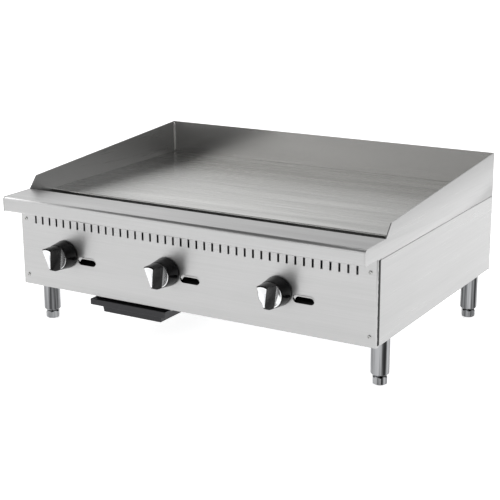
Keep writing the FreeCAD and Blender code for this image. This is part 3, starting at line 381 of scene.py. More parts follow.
@dataclass(frozen=True)
class Plated(Finish):
    """Polished and chromium plated steel: a near mirror, with faint wiping marks.

    Attributes:
        smear: length of a wiping mark, in millimetres.
    """

    smear: float = 14.0

    def pattern(self, tree: bpy.types.NodeTree, place: bpy.types.NodeSocket) -> bpy.types.NodeSocket:
        """Adds soft smears with finer ones in them."""
        smears = add(tree, "ShaderNodeTexNoise", {"Scale": 1 / (self.smear * MM), "Detail": 5.0,
                                                  "Distortion": 0.6}, {"Vector": place})
        return smears.outputs["Fac"]


@dataclass(frozen=True)
class Coated(Finish):
    """Enamel, paint or mill scale on steel: fine orange peel, and scuffs where it is handled.

    Attributes:
        grit: width of the surface's texture, in millimetres.
        shine: level of the mirror reflection, where 0.5 is ordinary paint.
    """

    grit: float = 2.0
    shine: float = 0.5

    def pattern(self, tree: bpy.types.NodeTree, place: bpy.types.NodeSocket) -> bpy.types.NodeSocket:
        """Adds orange peel under broader cloudy marks.

        Args:
            tree: the material's tree.
            place: object coordinates.

        Returns:
            A socket with the two mixed half and half.
        """
        grain = {"Scale": 1 / (self.grit * MM), "Detail": 3.0}
        peel = add(tree, "ShaderNodeTexNoise", grain, {"Vector": place})
        cloud = add(tree, "ShaderNodeTexNoise", {"Scale": 12.0, "Detail": 4.0}, {"Vector": place})
        both = add(tree, "ShaderNodeMix", {0: 0.5}, {2: peel.outputs["Fac"], 3: cloud.outputs["Fac"]})
        return both.outputs[0]

    def dress(self, tree: bpy.types.NodeTree, shader: bpy.types.Node) -> None:
        """Sets how strongly the surface mirrors."""
        shader.inputs["Specular IOR Level"].default_value = self.shine


# Stainless sheet, belt brushed: pale warm grey, with highlights drawn out across the strokes.
FRONT_STEEL = Brushed("brushed_stainless_along_x", "b9b9b9", "cfcfce", roughness=0.33, tint=0.10)
# The side panels' and side guards' copy of the sheet, painted a little darker than the front's: painted shade.
SIDE_STEEL_SHADED = Brushed("brushed_stainless_along_y_painted_shade", "b3b3b3", "c9c9c8", roughness=0.31, tint=0.08,
                     grain=Grain.Y)
# The rear guard's and the welds' copy of the sheet, painted a little paler than the front's: painted light.
GUARD_STEEL_LIT = Brushed("brushed_stainless_splash_guard_painted_light", "bebdbb", "d2d2d0", roughness=0.21, tint=0.10)
# The same sheet painted dark in the grease trough and the grease chute: painted shade of their recesses.
TROUGH_STEEL_SHADED = Brushed("trough_stainless_painted_shade", "565553", "8a8986", roughness=0.38, tint=0.35)
# Hot-rolled plate, surface ground: darker than stainless, with long level grinding marks.
PLATE_STEEL = Brushed("ground_griddle_steel", "bfbfbd", "d4d3d0", roughness=0.27, spread=0.06, tint=0.22,
                      relief=0.02, stroke=220.0, line=1.6, stretch=0.6)
# Galvanised sheet: dull blue grey crystals.
ZINC_SHEET = Spangled("galvanised_sheet", "a6a8a9", "bfc1c2", roughness=0.45, spread=0.1, tint=0.13)
# Polished chromium plate: bright, cold, nearly a mirror.
CHROME = Plated("polished_chrome_plate", "d4d5d7", "f0f0f0", roughness=0.09, spread=0.03, tint=0.05,
                relief=0.002)
# The legs' chrome plating, with light and dark bands up the tube painted into its colour as 15 mm strokes: painted
# reflections.
LEG_CHROME_PAINTED_BANDS = Brushed("lathe_polished_leg_chrome", "a0a1a3", "d0d0d0", roughness=0.09, spread=0.03, tint=0.94,
                     relief=0.002, grain=Grain.Z, stroke=900.0, line=15.0, stretch=0.3, softness=0.07)
# The knobs' plating: softer and greyer than the legs', with long clouds from handling.
KNOB_CHROME = Plated("satin_knob_chrome", "eeeff0", "f6f6f6", roughness=0.10, spread=0.03, tint=0.22,
                     relief=0.003, smear=24.0)
# Glossy black moulded body of the knobs.
BLACK_ENAMEL = Coated("black_knob_enamel", "060607", "1b1b1c", metallic=0.0, roughness=0.25, spread=0.05,
                      tint=0.3, relief=0.004, shine=0.28)
# A black strip laid in the joint round each side panel, where there is only the joint's shade: painted shadow. Matt,
# faintly lumpy.
JOINT_SHADOW_STRIP = Coated("painted_joint_shadow", "161617", "2a2a2b", metallic=0.0, roughness=0.6, spread=0.08,
                    tint=0.3, relief=0.05, grit=1.5, shine=0.3)
# Pressed tray steel, darkened by heat and grease: satin, nearly black.
TRAY_STEEL = Coated("heat_darkened_tray_steel", "3b3b3d", "77777a", metallic=0.75, roughness=0.42, spread=0.1,
                    tint=0.35, relief=0.01, grit=3.0)
# Black iron gas pipe: dull, with fine mill scale.
IRON_PIPE = Coated("black_iron_pipe_scale", "1d1d1e", "5a5a5a", metallic=0.4, roughness=0.55, spread=0.1,
                   tint=0.3, relief=0.05, grit=1.2)
# Aluminised steel burner tube: matt light grey, clouded by heat.
BURNER_STEEL = Coated("aluminised_burner_steel", "9b9a97", "b9b7b2", metallic=0.9, roughness=0.5, spread=0.1,
                      tint=0.35, relief=0.03, grit=2.5)
# Turned brass fittings: warm yellow with fine turning marks round the barrel.
BRASS = Brushed("turned_brass", "c7a15a", "e2c88c", roughness=0.28, tint=0.2, grain=Grain.X, stroke=60.0,
                line=0.7)
# Bright zinc plated screws.
ZINC_SCREW = Plated("bright_zinc_plate", "b9bab8", "dcdcda", roughness=0.22, spread=0.06, tint=0.15,
                    relief=0.004, smear=2.0)


# ---------------------------------------------------------------- meshes


@dataclass
class Grid:
    """A surface given as a grid of points.

    Attributes:
        points: rows by columns by 3, in metres, in the row frame.
        closed: whether the last column joins the first.
        finish: which of the piece's finishes it wears.
    """

    points: np.ndarray
    closed: bool = False
    finish: int = 0

    def quads(self, start: int) -> np.ndarray:
        """Numbers the corners of the grid's faces.

        Args:
            start: the number of the grid's first point.

        Returns:
            Rows of four point numbers, one row for each face.
        """
        rows, columns = self.points.shape[:2]
        index = np.arange(rows * columns).reshape(rows, columns) + start
        if self.closed:
            index = np.hstack([index, index[:, :1]])
        sides = (index[:-1, :-1], index[:-1, 1:], index[1:, 1:], index[1:, :-1])
        return np.stack(sides, axis=-1).reshape(-1, 4)


def make_piece(name: str, grids: list[Grid], finishes: list[Finish], sharp: float = 32.0) -> bpy.types.Object:
    """Makes one piece from grids, joined where their points meet.

    Args:
        name: the piece's name.
        grids: its surfaces.
        finishes: its finishes, which each grid names by number.
        sharp: edges that turn by more than this many degrees stay crisp.

    Returns:
        The new object, at the origin, with its place in its mesh.
    """
    starts = np.cumsum([0] + [grid.points.reshape(-1, 3).shape[0] for grid in grids])
    points = np.vstack([grid.points.reshape(-1, 3) for grid in grids])
    faces = [grid.quads(start) for grid, start in zip(grids, starts)]
    mesh = bpy.data.meshes.new(name)
    mesh.from_pydata(points.tolist(), [], np.vstack(faces).tolist())
    worn = np.concatenate([np.full(len(part), grid.finish) for part, grid in zip(faces, grids)])
    mesh.polygons.foreach_set("material_index", worn.astype(np.int32))
    for finish in finishes:
        mesh.materials.append(finish.material())
    joined = bmesh.new()
    joined.from_mesh(mesh)
    bmesh.ops.remove_doubles(joined, verts=joined.verts, dist=0.004 * MM)
    bmesh.ops.recalc_face_normals(joined, faces=joined.faces)
    joined.to_mesh(mesh)
    joined.free()
    mesh.polygons.foreach_set("use_smooth", np.ones(len(mesh.polygons), bool))
    mesh.set_sharp_from_angle(angle=math.radians(sharp))
    made = bpy.data.objects.new(name, mesh)
    bpy.context.scene.collection.objects.link(made)
    return made


def round_edges(target: bpy.types.Object, width: float, segments: int = 2, angle: float = 32.0) -> None:
    """Rounds an object's edges with modifiers, which leave its mesh as it is.

    Args:
        target: the object.
        width: width of the rounding, in millimetres.
        segments: how many facets make the rounding.
        angle: edges that turn by less than this many degrees are left.
    """
    weld = target.modifiers.new("weld", "WELD")
    weld.merge_threshold = 0.002 * MM
    flat = target.modifiers.new("merge_flat_faces", "DECIMATE")
    flat.decimate_type = "DISSOLVE"
    flat.angle_limit = math.radians(1.0)
    bevel = target.modifiers.new("rounded_edges", "BEVEL")
    bevel.limit_method = "ANGLE"
    bevel.angle_limit = math.radians(angle)
    bevel.width = width * MM
    bevel.segments = segments
    bevel.harden_normals = True
    close = target.modifiers.new("close_slivers", "WELD")
    close.merge_threshold = 0.005 * MM


def turned(profile: np.ndarray, centre: Vector, steps: int = 64, axis: str = "z") -> np.ndarray:
    """Turns a profile round an axis.

    Args:
        profile: rows of radius and distance along the axis, in metres.
        centre: a point on the axis.
        steps: how many points make the circle.
        axis: z for upright, y for pointing forward, where distance grows towards the front.

    Returns:
        Grid points, rows along the profile.
    """
    angle = np.linspace(0, 2 * np.pi, steps, endpoint=False)
    radius, reach = profile[:, :1], profile[:, 1:]
    one, two, along = radius * np.cos(angle), radius * np.sin(angle), reach + 0 * angle
    parts = (one, two, along) if axis == "z" else (one, -along, two)
    return np.stack(parts, axis=-1) + np.array(centre)


def fillet(centre: tuple[float, float], radius: float, start: float, end: float,
           steps: int = 6) -> np.ndarray:
    """Works out points of an arc in a profile's plane.

    Args:
        centre: the arc's centre.
        radius: its radius.
        start, end: its first and last angle, in degrees from the first axis towards the second.
        steps: how many points it has.

    Returns:
        Rows of the two coordinates.
    """
    angle = np.radians(np.linspace(start, end, steps))
    return np.stack([centre[0] + radius * np.cos(angle), centre[1] + radius * np.sin(angle)], axis=1)


def swept(path: np.ndarray, across: np.ndarray, up: np.ndarray, profile: np.ndarray) -> np.ndarray:
    """Carries a profile along a path.

    Args:
        path: points of the path.
        across: unit direction of the profile's first axis, one for all or one per path point.
        up: unit direction of its second axis, the same way.
        profile: rows of first and second coordinate; one per path point if it has three axes.

    Returns:
        Grid points, rows along the path.
    """
    across, up = np.broadcast_to(across, path.shape), np.broadcast_to(up, path.shape)
    profile = np.broadcast_to(profile, (len(path), *profile.shape[-2:]))
    return path[:, None] + across[:, None] * profile[..., :1] + up[:, None] * profile[..., 1:]


# ---------------------------------------------------------------- sub-assemblies


@dataclass
class ControlKnob:
    """A gas control knob: a black tapered body, a chrome face and a tapering chrome-fronted grip.

    Sizes are in millimetres. Depth is measured forward from the front panel.

    Attributes:
        station: which burner it controls.
        lift: depth of the body's back.
        base: radius of the body where it would meet the panel.
        slope: how much the radius shrinks for each millimetre forward.
        face: depth of the round face.
        reach: depth of the grip's upper end.
        foot_reach: depth of the grip's lower end.
        crown: radius of the grip's upper and lower ends.
        foot: distance from the axis down to the grip's lower front end.
        root_top, root_foot: half widths of the grip where it leaves the face.
        edge_top, edge_foot: half widths of the grip's front face.
        rounding: share by which the front face shrinks where its edges are rounded.
        scoop: depth of the hollow in the grip's front face.
        rim: radius of the rounding between the body's wall and its face.
        dish, dish_rim: depth of the round face's hollow, and the width of the slope into it.
        bow: how far the grip's lower end bulges on its way forward.
        hollowing: power that hollows the grip's sides.
        straight: share of the grip's way forward that is done where its front edges start to round.
        crest_drop: how far under the crown the front face reaches its full depth.
    """

    station: str
    lift: float = 2.0
    base: float = 33.0
    slope: float = 0.11
    face: float = 35.0
    reach: float = 68.0
    foot_reach: float = 58.0
    crown: float = 28.5
    foot: float = 22.6
    root_top: float = 16.5
    root_foot: float = 11.3
    edge_top: float = 12.4
    edge_foot: float = 1.6
    rounding: float = 0.09
    scoop: float = 4.2
    rim: float = 1.5
    dish: float = 0.5
    dish_rim: float = 4.0
    bow: float = 1.1
    hollowing: float = 2.2
    straight: float = 0.93
    crest_drop: float = 2.8

    def body(self) -> list[np.ndarray]:
        """Draws the body's two profiles.

        Returns:
            The tapered wall with its rounded rims, then the shallow dished face, as rows of radius
            and depth.
        """
        wall = self.base - self.slope * self.face
        back = fillet((self.base - 1.0, self.lift + 1.0), 0.8, -90, 0, 5)
        front = fillet((wall - self.rim, self.face - self.rim), self.rim, 0, 90, 8)
        depth = np.linspace(self.lift + 3, self.face - 3, 8)
        cone = np.stack([self.base - self.slope * depth, depth], axis=1)
        side = np.vstack([[[0, self.lift]], back, cone, front])
        radius = np.linspace(front[-1, 0], 0, 12)
        dish = self.face - self.dish * np.clip((front[-1, 0] - radius) / self.dish_rim, 0, 1)
        return [side, np.stack([radius, dish], axis=1)]

    def front_depth(self, height: np.ndarray) -> np.ndarray:
        """Depth of the grip's sloping front face at a height above the axis."""
        rise = (height + self.foot) / (self.crown - self.crest_drop + self.foot)
        return self.foot_reach + (self.reach - self.foot_reach) * rise

    def grip(self, rows: int = 18, sides: int = 28, ends: int = 11) -> list[np.ndarray]:
        """Works out the grip's surfaces.

        The half width goes from the root's to the front edge's by a power of what is left of the
        way, which hollows the sides. Each end is an arc about the axis between the two sides. The
        lower end bulges by half a sine over the first 0.7 of the way, and draws in by the way's
        cube. The front face sinks by the product of two parabolas that are 0 on its border.

        Args:
            rows: rings of the wall before its front edge rounds off.
            sides: points along each side of a ring.
            ends: points along each end of a ring.

        Returns:
            The wall, closed at its root, then the middle, upper and lower patches of the front face.
        """
        nose = np.linspace(0, 1, 8) * np.pi / 2
        flank = np.linspace(0, self.straight, rows)[:-1]
        way = np.concatenate([flank, self.straight + (1 - self.straight) * np.sin(nose)])[:, None]
        shrink = np.concatenate([np.ones(rows - 1), 1 - self.rounding * (1 - np.cos(nose))])[:, None]
        left = (1 - way) ** self.hollowing
        top = self.edge_top + (self.root_top - self.edge_top) * left
        low = self.edge_foot + (self.root_foot - self.edge_foot) * left
        bulge = self.bow * np.sin(np.pi * np.clip(way / 0.7, 0, 1))
        heel = self.crown + bulge - (self.crown - self.foot) * way ** 3
        high_corner, low_corner = np.sqrt(self.crown ** 2 - top ** 2), -np.sqrt(heel ** 2 - low ** 2)
        down, spread = np.linspace(0, 1, sides)[None], np.linspace(1, -1, ends)[None]
        side = top + (low - top) * down
        side_height = high_corner + (low_corner - high_corner) * down
        across = np.hstack([side, low * spread, -side[:, ::-1], -top * spread])
        height = np.hstack([side_height, -np.sqrt(heel ** 2 - (low * spread) ** 2), side_height[:, ::-1],
                            np.sqrt(self.crown ** 2 - (top * spread) ** 2)])
        across, height = across * shrink, height * shrink
        root_depth = self.face - self.rim
        depth = root_depth * (1 - way) + self.front_depth(height) * way
        wall = np.stack([across, depth, height], axis=-1)
        root = np.broadcast_to([0.0, root_depth, 0.0], wall[:1].shape)
        wall = np.concatenate([root, wall])
        hollow = self.scoop * 4 * (down * (1 - down)).T * (1 - spread ** 2)
        middle = self.patch(side[-1][:, None] * spread, side_height[-1][:, None] + 0 * spread, hollow)
        share = np.linspace(0, 1, 5)[:, None]
        upper_arc = np.sqrt(self.crown ** 2 - (top[-1] * spread[0]) ** 2)
        upper = self.patch(top[-1] * spread[0] + 0 * share, high_corner[-1] * (1 - share) + upper_arc * share)
        lower_arc = -np.sqrt(heel[-1] ** 2 - (low[-1] * spread[0]) ** 2)
        lower = self.patch(low[-1] * spread[0] + 0 * share, low_corner[-1] * (1 - share) + lower_arc * share)
        return [wall, middle, upper, lower]

    def patch(self, across: np.ndarray, height: np.ndarray, hollow: np.ndarray | float = 0.0) -> np.ndarray:
        """Grid on the grip's sloping front face.

        Args:
            across, height: coordinates before the edge is rounded.
            hollow: how far the face sinks, which is 0 along the patch's border.

        Returns:
            Rows by columns of across, depth and height.
        """
        across, height = across * (1 - self.rounding), height * (1 - self.rounding)
        return np.stack([across, self.front_depth(height) - hollow, height], axis=-1)

    def build(self) -> bpy.types.Object:
        """Builds the knob on its valve stem's axis.

        Returns:
            The knob, which turns with the station's control.
        """
        low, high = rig.box(f"{self.station}_knob")
        panel = high.y + self.lift * MM
        centre = Vector(((low.x + high.x) / 2, panel, (low.z + high.z) / 2))
        side, face = (turned(profile * MM, centre, 72, "y") for profile in self.body())
        forward = np.array((1, -1, 1)) * MM
        wall, *front = (points * forward + np.array(centre) for points in self.grip())
        grids = [Grid(side, True, 0), Grid(face, True, 1), Grid(wall, True, 0)]
        grids += [Grid(points, False, 1) for points in front]
        knob = make_piece(f"{self.station}_control_knob", grids, [BLACK_ENAMEL, KNOB_CHROME], 50.0)
        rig.ride(knob, f"{self.station}_control")
        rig.replaces(knob, f"{self.station}_knob")
        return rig.slot(knob, "knob_chrome")


@dataclass
class LevellingLeg:
    """A turned leg and the screw foot under it. Sizes are in millimetres.

    Attributes:
        corner: which corner it stands at.
        stud: radius of the mounting stud above the cabinet's floor.
        bore: radius of the bore that the foot's screw turns in.
        rod: radius of that screw.
        lead: distance between the screw's threads.
        thread: depth of the threads.
        bore_top: height where the bore ends.
        stud_length: how far the stud stands above the leg's shoulder.
        taper: how far the radius draws in at the leg's foot.
        hexagon_height: height of the foot's hexagon.
        bevel: how much the hexagon's corners are turned off for each millimetre of height.
        plain: half height of the band where its corners are left whole.
    """

    corner: str
    stud: float = 8.0
    bore: float = 6.06
    rod: float = 5.9
    lead: float = 2.0
    thread: float = 0.35
    bore_top: float = 72.0
    stud_length: float = 20.0
    taper: float = 5.0
    hexagon_height: float = 18.0
    bevel: float = 0.55
    plain: float = 6.8

    def leg(self) -> bpy.types.Object:
        """Builds the polished leg.

        Returns:
            A straight tube with a rounded shoulder, a tapered foot end and a bore closed at its top.
        """
        low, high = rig.box(f"{self.corner}_leg")
        centre = Vector(((low.x + high.x) / 2, (low.y + high.y) / 2, 0))
        outer, bottom, top = (high.x - low.x) / 2 / MM, low.z / MM, high.z / MM
        shoulder, neck = top - self.stud_length, outer - self.taper
        bore = [[0, self.bore_top], [self.bore, self.bore_top], [self.bore, bottom + 0.8]]
        lip = fillet((neck - 0.8, bottom + 0.8), 0.8, -90, -35, 4)
        knee = fillet((outer - 2.5, bottom + 6.6), 2.5, -38, 0, 6)
        tube = np.stack([np.full(8, outer), np.linspace(bottom + 9, shoulder - 2, 8)], axis=1)
        crest = fillet((outer - 1, shoulder - 1), 1, 0, 90, 5)
        stud = [[self.stud, shoulder], [self.stud, top - 1], [self.stud - 1, top], [0, top]]
        profile = np.vstack([bore, lip, knee, tube, crest, stud])
        surface = Grid(turned(profile * MM, centre, 96), True)
        piece = make_piece(f"{self.corner}_turned_leg", [surface], [LEG_CHROME_PAINTED_BANDS])
        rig.ride(piece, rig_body(f"{self.corner}_leg"))
        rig.replaces(piece, f"{self.corner}_leg")
        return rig.slot(piece, "polished_chrome")

    def foot(self) -> bpy.types.Object:
        """Builds the screw foot: a hexagon with its corners turned off, and a threaded rod.

        The radius at an angle is the hexagon's, flat / cos(angle from the nearest flat), held under
        the turned cone's. The thread rises and falls with a cosine of height less the turn made.

        Returns:
            The foot, which slides with its corner's levelling joint.
        """
        low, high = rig.box(f"{self.corner}_foot")
        centre = np.array(((low.x + high.x) / 2, (low.y + high.y) / 2, 0))
        flat = min(high.x - low.x, high.y - low.y) / 2 / MM
        height, tip, steps = self.hexagon_height, high.z / MM, 96
        clear = 40.0  # a radius outside the hexagon, where its flats decide
        turn = np.linspace(0, 2 * np.pi, steps, endpoint=False)
        level = np.array([0, 0, 0.7, 2.2, 9, height - 2.2, height - 0.7, height, height])[:, None]
        cone = np.array([0, flat * 0.92, flat, clear, clear, clear, flat, flat * 0.93, self.rod])[:, None]
        step = np.pi / 3
        first = 0.0 if high.x - low.x < high.y - low.y else step / 2
        hexagon = flat / np.cos((turn - first + step / 2) % step - step / 2)
        chamfer = flat * 1.15 - self.bevel * np.maximum(np.abs(level - height / 2) - self.plain, 0)
        radius = np.minimum(np.minimum(hexagon[None], chamfer), cone)
        rise = np.linspace(height + 0.6, tip - 0.6, 150)[:, None]
        thread = self.rod - self.thread * (0.5 - 0.5 * np.cos(2 * np.pi * rise / self.lead - turn[None]))
        radius = np.vstack([radius, thread, np.full((1, steps), self.rod - 1.2), np.zeros((1, steps))])
        level = np.vstack([level, rise, [[tip]], [[tip]]]) + 0 * turn[None]
        points = np.stack([radius * np.cos(turn), radius * np.sin(turn), level], axis=-1) * MM + centre
        piece = make_piece(f"{self.corner}_screw_foot", [Grid(points, True)], [LEG_CHROME_PAINTED_BANDS], 24.0)
        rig.ride(piece, f"{self.corner}_levelling_foot")
        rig.replaces(piece, f"{self.corner}_foot")
        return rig.slot(piece, "polished_chrome")

    def build(self) -> list[bpy.types.Object]:
        """Builds the leg and its foot."""
        return [self.leg(), self.foot()]


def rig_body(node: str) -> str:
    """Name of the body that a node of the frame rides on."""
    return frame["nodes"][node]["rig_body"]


@dataclass
class PanScrews:
    """Pan-head screws with a cross recess. Sizes are in millimetres.

    Attributes:
        node: the frame's node that holds the screws of one panel.
        facing: the side the heads look to, -1 for the front and 1 for the rear.
        radius: radius of a head.
        height: height of a head.
        recess: half width of the cross's arms.
        reach: length of an arm from the screw's axis.
        sink: depth of the cross.
        fall: share of its height that the dome loses at its edge.
        shank: radius of the screw's shank.
    """

    node: str
    facing: int
    radius: float = 4.2
    height: float = 2.6
    recess: float = 0.55
    reach: float = 2.6
    sink: float = 1.3
    fall: float = 0.72
    shank: float = 1.9

    def centres(self) -> np.ndarray:
        """Finds the screws' axes.

        Returns:
            The middle of the node's points in each of its four corners, one row for each screw.
        """
        mesh = self.target().data
        points = np.array([vertex.co for vertex in mesh.vertices])
        middle = (points.min(0) + points.max(0)) / 2
        found = []
        for right in (False, True):
            for above in (False, True):
                near = points[((points[:, 0] > middle[0]) == right) & ((points[:, 2] > middle[2]) == above)]
                found.append((near.min(0) + near.max(0)) / 2)
        return np.array(found)

    def target(self) -> bpy.types.Object:
        """The frame's node."""
        return frame["nodes"][self.node]

    def build(self) -> bpy.types.Object:
        """Builds the heads and shanks as one piece.

        A head is a dome, height * (1 - fall * (r / radius) ** 4). Its cross sinks where either
        coordinate is inside an arm's half width, and fades out over the arm's last 0.5 mm.

        Returns:
            The screws of one panel, which stand for the frame's node.
        """
        low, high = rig.box(self.node)
        tip = (low.y if self.facing < 0 else high.y) / MM
        end = (high.y if self.facing < 0 else low.y) / MM
        turn = np.linspace(0, 2 * np.pi, 72, endpoint=False)[None]
        out = np.linspace(0, 1, 26)[:, None] * self.radius * 0.97
        across, up = out * np.cos(turn), out * np.sin(turn)
        dome = self.height * (1 - self.fall * (out / self.radius) ** 4)
        aside = np.minimum(np.abs(across), np.abs(up))
        cross = np.clip((self.recess + 0.12 - aside) / 0.24, 0, 1) * np.clip((self.reach - out) / 0.5, 0, 1)
        lift = dome - self.sink * cross - self.height
        shank = np.array([[self.radius, -self.height + 0.2], [self.radius, -self.height],
                          [self.shank, -self.height], [self.shank, -abs(end - tip) + 0.4],
                          [0, -abs(end - tip)]])
        grids = []
        for centre in self.centres():
            place = np.array((centre[0], tip * MM, centre[2]))
            head = np.stack([across, self.facing * lift, up + 0 * turn], axis=-1)
            ring = np.stack([shank[:, :1] * np.cos(turn), self.facing * shank[:, 1:] + 0 * turn,
                             shank[:, :1] * np.sin(turn)], axis=-1)
            grids.append(Grid(np.vstack([head, ring]) * MM + place, True))
        screws = make_piece(f"{self.node}_pan_heads", grids, [ZINC_SCREW], 40.0)
        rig.ride(screws, "cabinet")
        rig.replaces(screws, self.node)
        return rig.slot(screws, "zinc_fastener")


@dataclass
class SlotLip:
    """The lip bent inwards from the upper edge of a viewing slot. Sizes are in millimetres.

    Attributes:
        station: the burner it looks at.
        width, height: size of the slot.
        drop: how far the lip hangs below the slot's edge.
        depth: how far back it leans.
        gauge: thickness of the sheet.
        right, below: how far the slot's middle stands right of and below the knob's axis.
        open_angle: angle above the slot's middle where the lip starts at each end, in degrees.
        draw: how much the lip narrows for each millimetre it falls, as a share.
    """

    station: str
    width: float = 51.0
    height: float = 19.2
    drop: float = 6.0
    depth: float = 3.4
    gauge: float = 1.2
    right: float = 60.5
    below: float = 9.8
    open_angle: float = 8.0
    draw: float = 0.02

    def build(self) -> bpy.types.Object:
        """Builds the lip behind the front panel.

        Returns:
            The lip, a curved strip that follows the slot's round ends a little way down.
        """
        end = self.height / 2
        straight = self.width / 2 - end
        angle = np.radians(np.linspace(self.open_angle, 90, 14))
        corner = np.stack([straight + end * np.cos(angle), end * np.sin(angle)], axis=1)
        run = np.stack([np.linspace(straight, -straight, 20)[1:-1], np.full(18, end)], axis=1)
        edge = np.vstack([corner, run, corner[::-1] * (-1, 1)])
        way = np.linspace(0, 1, 7)
        fall, back = self.drop * way ** 1.3, self.depth * np.sin(way * np.pi / 2)
        inner = self.strip(edge, fall, back + self.gauge)
        outer = self.strip(edge, fall[::-1] - self.gauge * 0.8, back[::-1] + 2 * self.gauge)
        loop = np.concatenate([inner, outer], axis=0)
        loop = np.concatenate([loop, loop[:1]], axis=0)
        low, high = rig.box(f"{self.station}_knob")
        axis_x, axis_z = (low.x + high.x) / 2, (low.z + high.z) / 2
        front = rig.box("front_panel")[0].y
        place = np.array((axis_x + self.right * MM, front, axis_z - self.below * MM))
        grids = [Grid(loop * MM + place)]
        for column in (0, -1):
            one, two = inner[:, column], outer[::-1, column]
            grids.append(Grid(np.stack([one, two], axis=1) * MM + place))
        lip = make_piece(f"{self.station}_viewing_slot_lip", grids, [FRONT_STEEL])
        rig.ride(lip, "cabinet")
        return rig.slot(lip, "brushed_stainless")

    def strip(self, edge: np.ndarray, fall: np.ndarray, back: np.ndarray) -> np.ndarray:
        """The slot's edge carried down and back, rows along the bend."""
        across = np.broadcast_to(edge[:, 0], (len(fall), len(edge)))
        return np.stack([across * (1 - self.draw * fall[:, None]), back[:, None] + 0 * across,
                         edge[:, 1] - fall[:, None]], axis=-1)


@dataclass
class WeldBead:
    """A fillet weld with overlapping ripples. Sizes are in millimetres.

    Attributes:
        name: the piece's name.
        leg: size of the weld along each of the two sheets.
        ripple: distance between ripples.
        body: the body it rides on.
        pace: distance between the bead's rings.
        taper: length over which each end fades out.
        drift: length of the slow swell, before it is taken as an angle in radians.
        bite: how deep the bead's root lies in the corner.
    """

    name: str
    leg: float = 3.2
    ripple: float = 2.4
    body: str = "cabinet"
    pace: float = 0.8
    taper: float = 3.0
    drift: float = 17.0
    bite: float = 0.15

    def build(self, start: Vector, end: Vector, across: tuple[float, ...],
              up: tuple[float, ...]) -> bpy.types.Object:
        """Builds the bead in a corner.

        Args:
            start: first point of the corner's line, in metres.
            end: its last point.
            across: unit direction along the first sheet, away from the corner.
            up: unit direction along the second sheet.

        Returns:
            The bead, whose crown swells and sinks once a ripple and tapers away at both ends.
        """
        length = (end - start).length
        count = int(length / MM / self.pace)
        way = np.linspace(0, 1, count)[:, None]
        path = np.array(start) + way * np.array(end - start)
        beat = (way * length / MM / self.ripple) % 1
        fade = np.clip(np.minimum(way, 1 - way) * length / MM / self.taper, 0.05, 1)
        size = self.leg * (0.9 + 0.1 * beat + 0.05 * np.sin(way * length / MM / self.drift)) * fade
        angle = np.linspace(0, np.pi / 2, 7)[None]
        crown = np.stack([size * np.cos(angle) * (1 - 0.3 * np.sin(2 * angle)),
                          size * np.sin(angle) * (1 - 0.3 * np.sin(2 * angle))], axis=-1)
        root = np.full((count, 1, 2), -self.bite)
        loop = np.concatenate([root, crown], axis=1) * MM
        points = swept(path, np.array(across), np.array(up), loop)
        caps = [Grid(np.stack([points[row], np.broadcast_to(points[row, :1], points[row].shape)]))
                for row in (0, -1)]
        bead = make_piece(self.name, [Grid(points, True), *caps], [GUARD_STEEL_LIT], 50.0)
        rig.ride(bead, self.body)
        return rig.slot(bead, "brushed_stainless")


@dataclass
class CookingTop:
    """The plate, the splash guards round it, the ledge and the grease trough before it.

    Sizes are in millimetres.

    Attributes:
        plate_edge, ledge_edge, guard_edge, trough_edge: width of the rounding on each one's edges.
        weld_leg: size of the rear corner welds along each guard.
        weld_ripple: distance between their ripples.
        weld_top: how far below the rear guard's top they end.
    """

    plate_edge: float = 1.2
    ledge_edge: float = 0.6
    guard_edge: float = 0.4
    trough_edge: float = 0.5
    weld_leg: float = 4.0
    weld_ripple: float = 3.0
    weld_top: float = 3.0

    def build(self) -> list[bpy.types.Object]:
        """Rounds the edges of the frame's sheets and lays the weld beads up the rear corners.

        Returns:
            The weld beads.
        """
        guards = [f"{place}_splash_guard" for place in ("rear", *SIDES)]
        widths = {"griddle_plate": self.plate_edge, "front_ledge": self.ledge_edge,
                  **dict.fromkeys(guards, self.guard_edge), "grease_trough": self.trough_edge}
        for node, width in widths.items():
            round_edges(frame["nodes"][node], width)
        return self.corner_welds()

    def corner_welds(self) -> list[bpy.types.Object]:
        """Lays ground-down beads up the two rear corners of the splash guards.

        Returns:
            The left bead and the right one.
        """
        low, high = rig.box("griddle_plate")
        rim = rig.box("rear_splash_guard")[1].z - self.weld_top * MM
        made = []
        for side, x, inward in (("left", low.x, 1), ("right", high.x, -1)):
            bead = WeldBead(f"{side}_rear_corner_weld", leg=self.weld_leg, ripple=self.weld_ripple)
            made.append(bead.build(Vector((x, high.y, high.z)), Vector((x, high.y, rim)),
                                   (inward, 0, 0), (0, -1, 0)))
        return made


